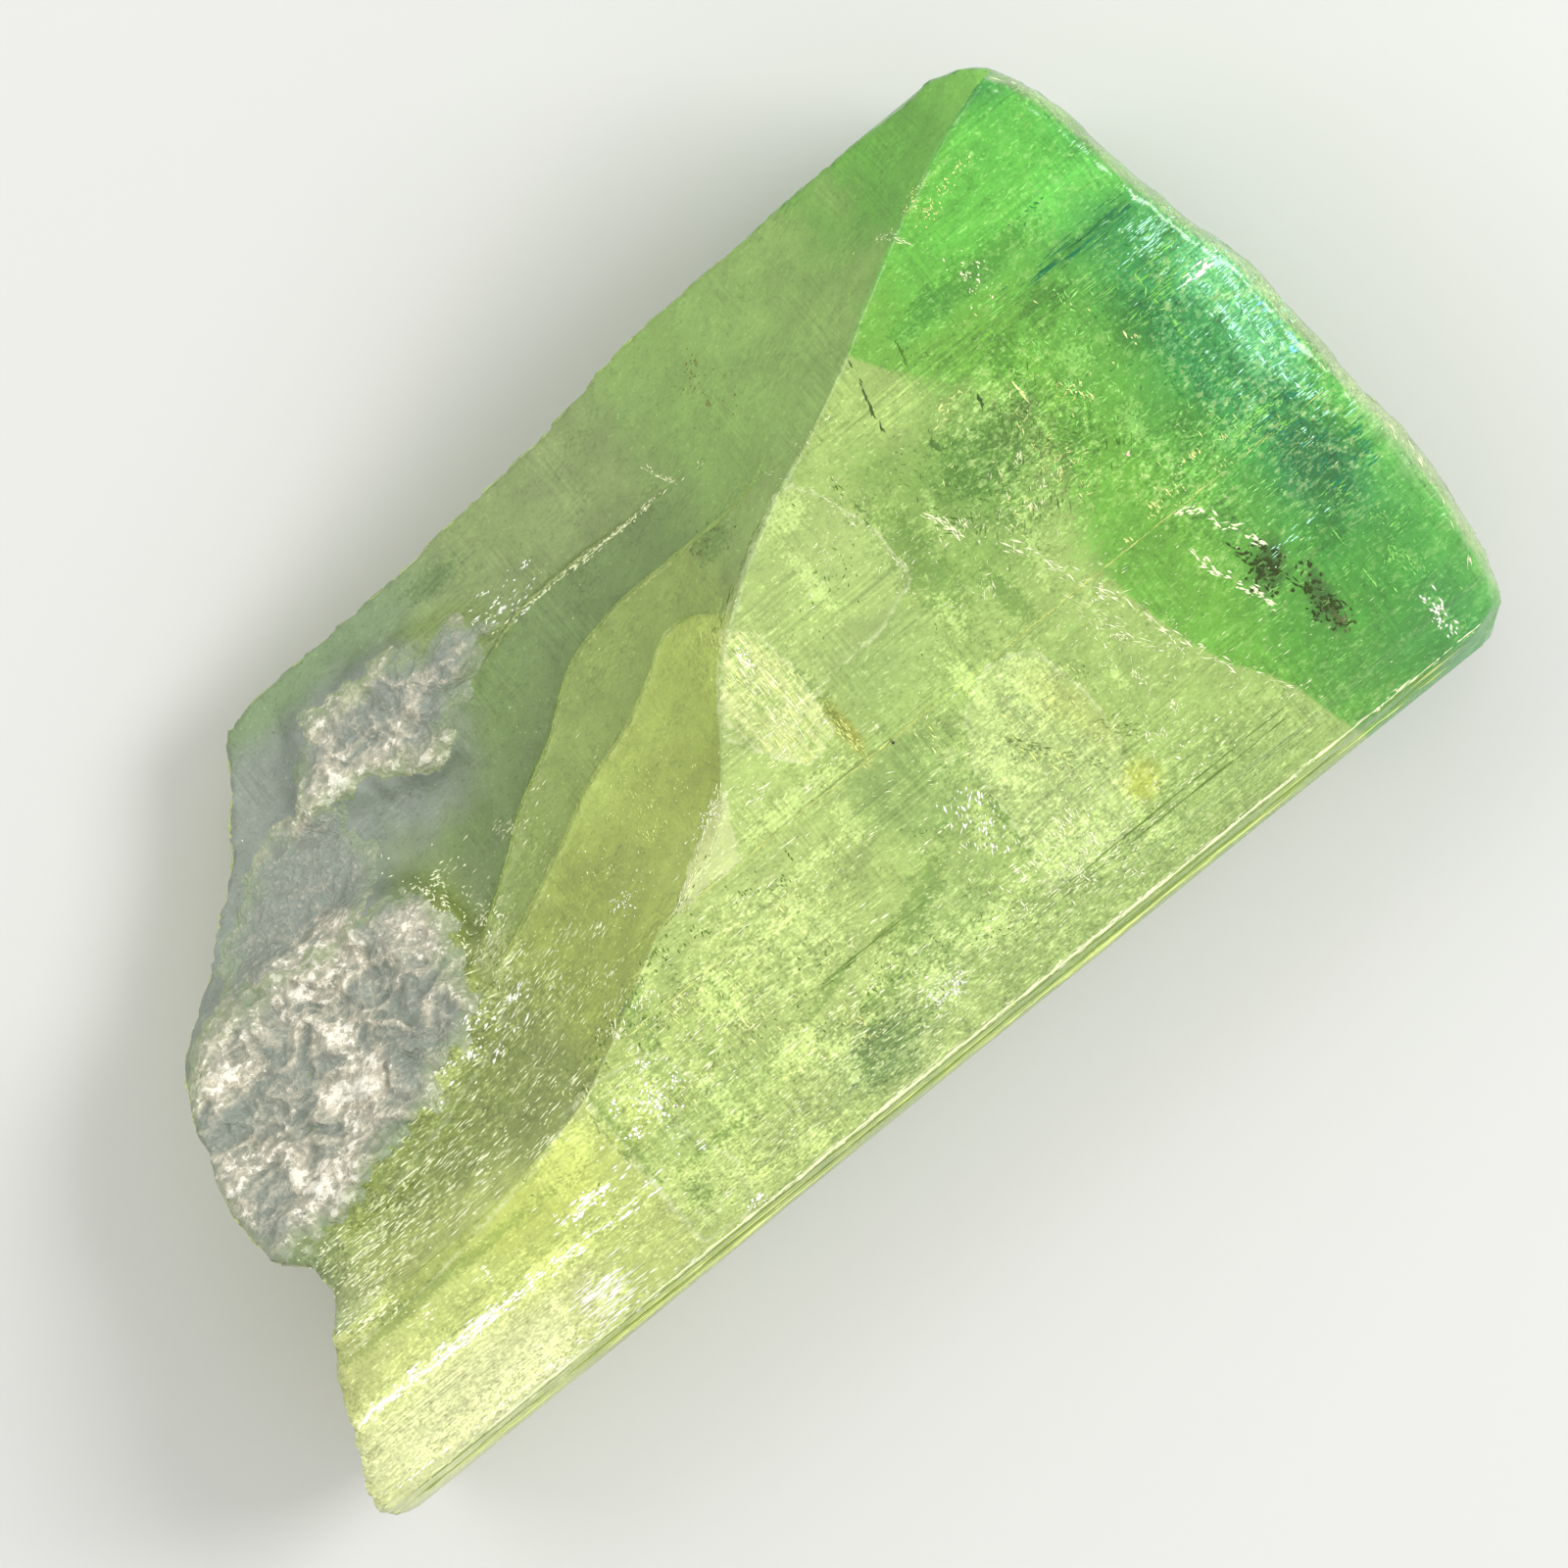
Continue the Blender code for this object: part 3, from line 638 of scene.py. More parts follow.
# %% Colour of the zones and grains
finish = Finish("tourmaline")
broken, splintery = finish.painted("broken"), finish.painted("splintery")
cloudy, with_streaks, with_lines = finish.channels(finish.painted("mottling", "Color"))
bright, dark, busy = finish.channels(finish.painted("stains", "Color"))
busy = finish.math("MAXIMUM", busy, finish.painted("glow"))
fleck = finish.spots((4.5, 5.5, 5.5), 4.0, 0.72, (1.0, 4.0, 2.0))
powder = finish.spots((15.0, 17.0, 17.0), 1.0, 0.5, (4.0, 4.0, 9.0))
along = finish.spots((0.5, 16.0, 16.0), 1.0, 0.6, (3.0, 1.0, 0.0))
across = finish.spots((15.0, 1.0, 1.0), 1.0, 0.6, (2.0, 9.0, 4.0))
small_blocks = finish.blocks((2.4, 3.2, 3.2), fleck.fit(0.0, 1.0, 0.0, 1.3), (1.0, 8.0, 2.0))

ragged = fleck.fit(0.25, 0.75, -1.0, 1.0)
past = finish.painted("curtain") + ragged * 0.9
base = finish.mix(past.fit(-0.6, 0.6), finish.painted("before", "Color"),
                  finish.painted("beyond", "Color"))
clear_part = (broken + ragged * 0.25).fit(0.42, 0.58, 1.0, 0.0)
# the break takes its frosted colour with painted shade
base = finish.mix(clear_part, finish.painted("dull", "Color"), base)

change = (along.fit(0.25, 0.75, -0.26, 0.26) * with_streaks
          + across.fit(0.25, 0.75, -0.2, 0.2) * with_lines)
fine = fleck.fit(0.25, 0.75, -0.4, 0.4) + powder.fit(0.25, 0.75, -0.24, 0.24)
change = (change + fine * busy.fit(0.0, 1.0, 0.34, 1.0)) * clear_part.fit(0.0, 1.0, 0.8, 1.0)
change = change + cloudy.fit(-1.0, 1.0, -0.14, 0.14) + small_blocks.fit(0.0, 1.0, -0.06, 0.06)
base = finish.mix(1.0, base, finish.grey(change + 1.0), "MULTIPLY")
grainy = (fleck + powder) * 1.9
base = finish.mix((bright + grainy).fit(2.3, 2.85, 0.0, 0.4), base,
                  finish.mix(0.5, base, (0.5, 0.52, 0.28, 1.0)), "ADD")
base = finish.mix((dark - grainy).fit(-1.65, -1.0, 0.0, 0.8), base, (0.56, 0.68, 0.48, 1.0), "MULTIPLY")

print("nodes for zones and grains:", len(finish.tree.nodes))

# %% [markdown]
# ## Panes, sparkle and ledge lines
# Distances are cut near zero here, so each pane has an edge as thin as a pixel, with a broken bright rim.
# Painted flecks of light, fine dark lines and a painted sparkle follow. Each ledge gets a dark line of
# painted shadow beside it and a light line of painted highlight on its lip, as a step in clear stone
# shows. The three ledges share one vector, and one set of vector nodes draws the lines of all three.

# %% Colour of the panes and the ledges
patchy = fleck.fit(0.4, 0.6)
PANE_LOOKS = [  # attribute, its channel, colour, strength, pattern
    ("panes", 0, (250, 252, 150), 0.14, None), ("panes", 1, (246, 252, 190), 0.15, None),
    ("panes", 2, (236, 244, 176), 0.1, None), ("chips", 0, (252, 255, 190), 0.4, None),
    ("chips", 1, (254, 255, 180), 0.5, across.fit(0.42, 0.58)), ("chips", 2, (120, 156, 84), 0.3, patchy),
]
for attribute, channel, tint, strength, pattern in PANE_LOOKS:
    inside = finish.channels(finish.painted(attribute, "Color"))[channel] + ragged * 0.06
    weight = inside.fit(-0.02, 0.02, 0.0, strength)
    base = finish.mix(weight if pattern is None else weight * pattern, base, shade(*tint))
    rim = finish.math("ABSOLUTE", inside).fit(0.05, 0.02) * patchy
    base = finish.mix(rim * 0.5, base, shade(244, 250, 200))

# painted glints: small light flecks, more of them where the crystal is busy
light_spot = (fleck + cloudy.fit(-1.0, 1.0, -0.06, 0.06)).fit(0.56, 0.62) * clear_part
base = finish.mix(light_spot * busy.fit(0.0, 1.0, 0.1, 0.34), base, shade(242, 252, 176))
dark_line = along.fit(0.36, 0.28) * (patchy * clear_part)
base = finish.mix(dark_line * 0.4, base, shade(104, 140, 60))
# painted sparkle: fine bright flecks added to the colour
sparkle = finish.spots((6.0, 15.0, 15.0), 1.0, 0.6, (5.0, 3.0, 8.0))
sparkle = (sparkle + busy.fit(0.0, 1.0, -0.04, 0.06)).fit(0.62, 0.66)
sparkle = sparkle * finish.math("MAXIMUM", clear_part, splintery)
base = finish.mix(sparkle * 0.4, base, finish.mix(0.5, base, (0.6, 0.62, 0.38, 1.0)), "ADD")

near_ledge = finish.vector("ADD", finish.painted("ledges", "Vector"), fleck.fit(0.25, 0.75, -0.06, 0.06))
LEDGE_SHADOW_AND_HIGHLIGHT = [  # shift and reach in mm, colour, strength
    # first row: painted shadow just past each step; second row: painted highlight on its lip
    (-0.015, 0.03, (96, 116, 54), 0.5),
    (0.035, 0.035, (222, 228, 144), 0.6),
]
for shift, reach, tint, strength in LEDGE_SHADOW_AND_HIGHLIGHT:
    away = finish.vector("ABSOLUTE", finish.vector("ADD", near_ledge, (shift,) * 3))
    lines = finish.node("MapRange", 1, {"data_type": "FLOAT_VECTOR"}, i6=away, i7=(reach,) * 3,
                        i8=(0.4 * reach,) * 3)
    line = finish.vector("DOT_PRODUCT", lines, (1.0,) * 3, 1)
    line = line * powder.fit(0.4, 0.55, 0.2 * strength, strength) * clear_part.fit(0.0, 1.0, 1.0, 0.0)
    base = finish.mix(line, base, shade(*tint))

print("nodes in all:", len(finish.tree.nodes))

# %% [markdown]
# ## Gloss and clearness
# The clear faces are polished, the break is frosted and its splinters are in between. The bump is the
# noise along u on the faces and the fine powder on the break. A third of the light goes through, bends
# and loses its blue and red on the way. The rest is scattered, with the colours made above.

# %% Finish of the crystal
rough = broken.fit(0.0, 1.0, 0.14, 0.5) + along.fit(0.35, 0.65, 0.0, 0.08) - splintery * 0.22
height = finish.node("Mix", 0, {"data_type": "FLOAT"}, i0=broken, i2=along, i3=powder)
bump = finish.node("Bump", Strength=0.4, Distance=2.0e-5, Height=height)
finish.set(Base_Color=base, Roughness=rough, Normal=bump, IOR=1.63, Transmission_Weight=0.35)
absorbing = finish.node("VolumeAbsorption", Color=(0.75, 0.95, 0.4, 1.0), Density=30.0)
finish.feed(finish.output.inputs["Volume"], absorbing)
crystal.data.materials.clear()
crystal.data.materials.append(finish.material)
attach(crystal, "root")
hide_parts("tourmaline_crystal")
crystal.data.calc_loop_triangles()
print("crystal has", len(crystal.data.loop_triangles), "triangles")

# %% [markdown]
# ## The crust
# A rough grey-white crust has grown on the break, near the base, as a skin of small crumpled folds. Its
# outlines are short lists of points, made ragged by noise. Noise that is mirrored at zero gives long
# crests, and bending its coordinates with more noise curls them. The same folds also set how light each
# point is painted: painted light on the crests and painted shade in the hollows. All this is written as
# functions of a place in the drawing, so that the mesh and its colours can both ask for it.

# %% Outlines and folds of the crust
BRIDGE_CRUST = [(2.8, 9.6), (3.6, 10.9), (5.0, 12.0), (6.4, 13.0), (7.8, 13.0), (8.9, 12.4), (8.7, 11.2),
                (8.0, 10.0), (7.0, 9.2), (5.0, 9.2)]
BASE_CRUST = [(1.0, 5.9), (0.9, 8.1), (1.6, 9.6), (2.9, 10.5), (4.4, 10.75), (6.0, 10.6), (7.8, 10.5),
              (8.9, 9.9), (9.0, 8.8), (8.4, 8.0), (8.2, 7.0), (6.4, 6.2), (4.2, 5.65), (2.9, 5.4),
              (1.6, 5.4)]
SIDE_CRUST = [(7.5, 12.5), (8.0, 13.5), (8.8, 14.35), (10.2, 14.2), (11.4, 14.1), (12.7, 13.8),
              (13.9, 13.1), (12.6, 12.6), (11.5, 12.1), (11.2, 11.5), (10.3, 11.4), (9.4, 11.9),
              (8.3, 12.0)]
# u, v and half sizes of the places with painted light and of the hollows with painted shade
BRIGHT = [(3.2, 9.5, 0.9, 0.4), (5.3, 9.9, 1.3, 0.4), (1.5, 7.1, 0.5, 0.9), (3.2, 6.2, 1.0, 0.4),
          (5.2, 7.3, 0.6, 0.4), (8.7, 13.9, 0.5, 0.25), (9.0, 12.5, 1.2, 0.22), (10.3, 12.6, 0.4, 0.3),
          (12.3, 13.1, 0.9, 0.14), (10.5, 11.7, 0.4, 0.3)]
HOLLOW = [(3.6, 8.8, 1.1, 0.35), (7.2, 8.4, 0.6, 0.45), (2.2, 8.5, 0.6, 0.4), (4.6, 6.1, 0.5, 0.3),
          (9.7, 13.3, 1.0, 0.3), (8.2, 13.3, 0.5, 0.4), (11.7, 12.8, 1.2, 0.6), (1.6, 5.8, 0.6, 0.3),
          (5.0, 8.2, 0.8, 0.25), (6.6, 7.4, 0.5, 0.4), (12.0, 13.5, 0.9, 0.25)]


def flat_grain(uv, scale, seed):
    """The same noise for points of a flat drawing."""
    return grain(np.c_[uv, uv[:, 0] * 0], (*scale, 1), seed)


def crust_reach(outline, uv):
    """How far inside the ragged outline of a crust each point lies."""
    return (inside_by(outline, uv) + 0.34 * flat_grain(uv, (1.4, 1.4), 31)
            + 0.2 * flat_grain(uv, (4.0, 4.0), 38))


def folds(uv):
    """Height of the bent folds of the crust, from about -0.7 in the hollows to 1 on the crests."""
    bent = uv + 0.7 * np.c_[flat_grain(uv, (1.1, 1.4), 32), flat_grain(uv, (1.1, 1.4), 33)]
    long_folds = 1 - 4.2 * np.abs(flat_grain(bent, (0.7, 1.4), 35))
    short_folds = 1 - 3.8 * np.abs(flat_grain(bent, (2.2, 3.4), 36))
    return 0.55 * np.clip(long_folds, -0.7, 1) + 0.45 * np.clip(short_folds, -0.7, 1)


def mounds(uv):
    """Height of the crust's mounds, from 0 in the creases to 1."""
    large, crumbs = flat_grain(uv, (0.45, 0.6), 34), flat_grain(uv, (8.0, 8.0), 37)
    return np.clip(0.4 + 0.35 * large + 0.42 * folds(uv) + 0.14 * crumbs, 0, 1)


def crust_light_and_shade(uv):
    """How bright the crust is painted at each point: shade in the hollows near 0, light on the crests
    near 1.
    """
    u_here, v_here = uv.T
    # painted light on the crests and painted shade in the hollows, from the height of the folds
    light = 0.36 + 0.34 * flat_grain(uv, (0.9, 1.3), 39) + 0.62 * folds(uv)
    light -= 0.6 * between(10.3, 11.0, 12.0, 12.5, v_here) * fall(8.6, 9.4, u_here)
    # the bright places get painted light, and the hollows painted shade
    for places, strength in ((BRIGHT, 0.36), (HOLLOW, -0.5)):
        for u, v, half_u, half_v in places:
            light += strength * np.exp(-((u_here - u) / half_u) ** 2 - ((v_here - v) / half_v) ** 2)
    return np.clip(light, 0.0, 1.0)


print("points of the three outlines:", len(BRIDGE_CRUST), len(BASE_CRUST), len(SIDE_CRUST))

# %% [markdown]
# ## Dropping the crust onto the crystal
# The crust is three thin closed patches: two thick ones, and a thin film that joins them. Each starts
# as a flat grid, keeps what lies inside its ragged outline, drops onto the crystal, and is raised into
# folds. A ray from above finds the crystal under each point. A shrinkwrap would do so too, but it could
# slide the points sideways. The edge dips into the crystal, so no gap shows, and an extruded copy of the
# patch closes it from below.

# %% Drop the patches onto the crystal
CRUSTS = {  # outline, and the height of the mounds in mm
    "bridge_crust": (BRIDGE_CRUST, 0.05),
    "base_crust": (BASE_CRUST, 0.3),
    "side_crust": (SIDE_CRUST, 0.2),
}
CRUST_CELL = 0.055
MARGIN, ABOVE = 0.6, 30.0  # how far a grid passes its outline, and the height that rays start from
DIP, CRUST_FLOOR, CRUST_THICKNESS = 0.05, 0.06, 0.2


def drop_points(bm, unwanted):
    """Deletes these points of a mesh, and then those that no face uses."""
    bmesh.ops.delete(bm, geom=unwanted, context="VERTS")
    bmesh.ops.delete(bm, geom=[vert for vert in bm.verts if not vert.link_faces], context="VERTS")


def flat_grid(outline):
    """A flat grid over an outline, without the faces that lie well outside it."""
    corners = np.array(outline)
    low, high = corners.min(axis=0) - MARGIN, corners.max(axis=0) + MARGIN
    columns, rows = np.ceil((high - low) / CRUST_CELL).astype(int)
    bm = bmesh.new()
    bmesh.ops.create_grid(bm, x_segments=int(columns), y_segments=int(rows), size=0.5)
    bmesh.ops.scale(bm, vec=(*(high - low), 1), verts=bm.verts)
    bmesh.ops.translate(bm, vec=(*(low + high) / 2, 0), verts=bm.verts)
    reach = crust_reach(outline, np.array([vert.co.xy for vert in bm.verts]))
    drop_points(bm, [vert for vert, inside in zip(bm.verts, reach) if inside < -DIP])
    return bm


crystal_tree = BVHTree.FromPolygons([Vector(point) for point in moved.tolist()],
                                    [tuple(face.vertices) for face in crystal.data.polygons])


def skin_at(u, v):
    """Place and direction of the crystal's skin below a place of the drawing, or None beside it."""
    start = Vector((u - CORNER[0], v - CORNER[1], ABOVE))
    hit, facing, _, _ = crystal_tree.ray_cast(start, Vector((0, 0, -1)))
    return None if hit is None else (hit, facing)


def crust_patch(name, outline, lift):
    bm = flat_grid(outline)
    uv = np.array([vert.co.xy for vert in bm.verts])
    height, cover, missing = mounds(uv), rise(-DIP, 0.6, crust_reach(outline, uv)), []
    for vert, place, mound, share in zip(bm.verts, uv, height, cover):
        ground = skin_at(*place)
        if ground is None:
            missing.append(vert)
            continue
        vert.co = (*(place - CORNER[:2]), ground[0].z - DIP + share * (CRUST_FLOOR + lift * mound))
    drop_points(bm, missing)
    made = bmesh.ops.extrude_face_region(bm, geom=bm.faces[:], use_keep_orig=True)
    for item in made["geom"]:
        if isinstance(item, bmesh.types.BMVert):
            item.co.z -= CRUST_THICKNESS
    bmesh.ops.recalc_face_normals(bm, faces=bm.faces)
    bmesh.ops.scale(bm, vec=(MM,) * 3, verts=bm.verts)
    mesh = mesh_of(bm, name)
    uv = (array_of(mesh.vertices, "co") / MM + CORNER)[:, :2]
    paint_points(mesh, reach=crust_reach(outline, uv), light=crust_light_and_shade(uv))
    mesh.shade_smooth()
    print(name, len(mesh.polygons), "faces")
    return plain_object(name, mesh)


crusts = [crust_patch(name, outline, lift) for name, (outline, lift) in CRUSTS.items()]

# %% [markdown]
# ## The finish of the crust
# The crust is opaque and a little waxy. Its crests get a painted cream highlight, and its hollows a grey
# painted shade. This painted light and shade is stored on the points, so the colour follows the shape. A
# ridged noise, bent by another, draws the many fine crests that are too small for the grid, and also
# makes the bump. Small scales with square corners get painted glints on top. The colour turns green-grey
# towards the edge, where the crust is thin.

# %% Material of the crust
finish = Finish("crust")
here = finish.place((2.6, 3.4, 3.4))
swirl = finish.node("TexNoise", 1, i0=here, Scale=0.7, Detail=2.0)
bent = finish.node("VectorMath", 0, {"operation": "MULTIPLY_ADD"}, i0=swirl, i1=(1.3,) * 3, i2=here)
crests = finish.node("TexNoise", 0, {"noise_type": "RIDGED_MULTIFRACTAL", "normalize": False}, i0=bent,
                     Scale=1.0, Detail=4.0, Roughness=0.66, Lacunarity=2.2, Offset=0.9, Gain=2.0)
crumbs = finish.spots((9.0, 9.0, 9.0), 3.0, 0.65)
scales = finish.blocks((5.5, 7.5, 7.5), crumbs.fit(0.0, 1.0, 0.0, 1.6), (2.0, 5.0, 1.0))
level = finish.painted("light") + crumbs.fit(0.3, 0.7, -0.3, 0.3)
# painted light and shade: grey where the stored lightness is low, pale where it is high
base = finish.mix(level.fit(0.0, 0.8), shade(134, 143, 131), shade(190, 184, 162))
# painted cream highlight on the fine crests
base = finish.mix(crests.fit(1.1, 1.9) * level.fit(0.0, 0.9, 0.06, 1.0), base, shade(244, 236, 210))
# painted glints on the small scales
glitter = scales * 0.6 + level.fit(0.1, 1.0, -0.16, 0.45)
base = finish.mix(glitter.fit(0.64, 0.74, 0.0, 0.75), base, shade(255, 252, 236))
# painted shade in the creases between the crests
base = finish.mix(crests.fit(0.7, 0.1, 0.0, 0.6), base, shade(104, 108, 96))
reach = finish.painted("reach") + crumbs.fit(0.3, 0.7, -0.2, 0.2)
base = finish.mix(reach.fit(0.75, 0.05, 0.0, 0.9), base, shade(142, 160, 112))
bump = finish.node("Bump", Strength=0.6, Distance=5e-5, Height=crests)
finish.set(Base_Color=base, Roughness=crumbs.fit(0.3, 0.7, 0.3, 0.55), Normal=bump, IOR=1.5)
for crust in crusts:
    crust.data.materials.append(finish.material)
    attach(crust, "root")

# %% [markdown]
# ## Small bright flakes
# What makes the crystal sparkle are thousands of small flakes and steps: chips on the striations, healed
# cracks that reach the surface, and splinters on the break. Their pale colours are painted glints, which
# stand in for the light these facets catch. They lie in clusters, and most run along the crystal. One
# flake is a flat four-sided double cone, ten or so times thinner than it is long. Its points are copied,
# stretched and turned for each place in a list of clusters. Drawing them with a noise texture is quicker,
# but it can't put a cluster where it belongs, and its spots all look alike. How many flakes lie near each
# point of the crystal is painted on it as well, as its own fine grain is stronger there.

# %% Clusters of flakes
ALONG_U, ACROSS, ANY_WAY = (0, 4), (90, 8), (0, 90)
HAIR, THIN, FINE, SLIM = (0.01, 0.02), (0.012, 0.03), (0.015, 0.035), (0.015, 0.04)
FULL, BROAD = (0.02, 0.05), (0.03, 0.06)
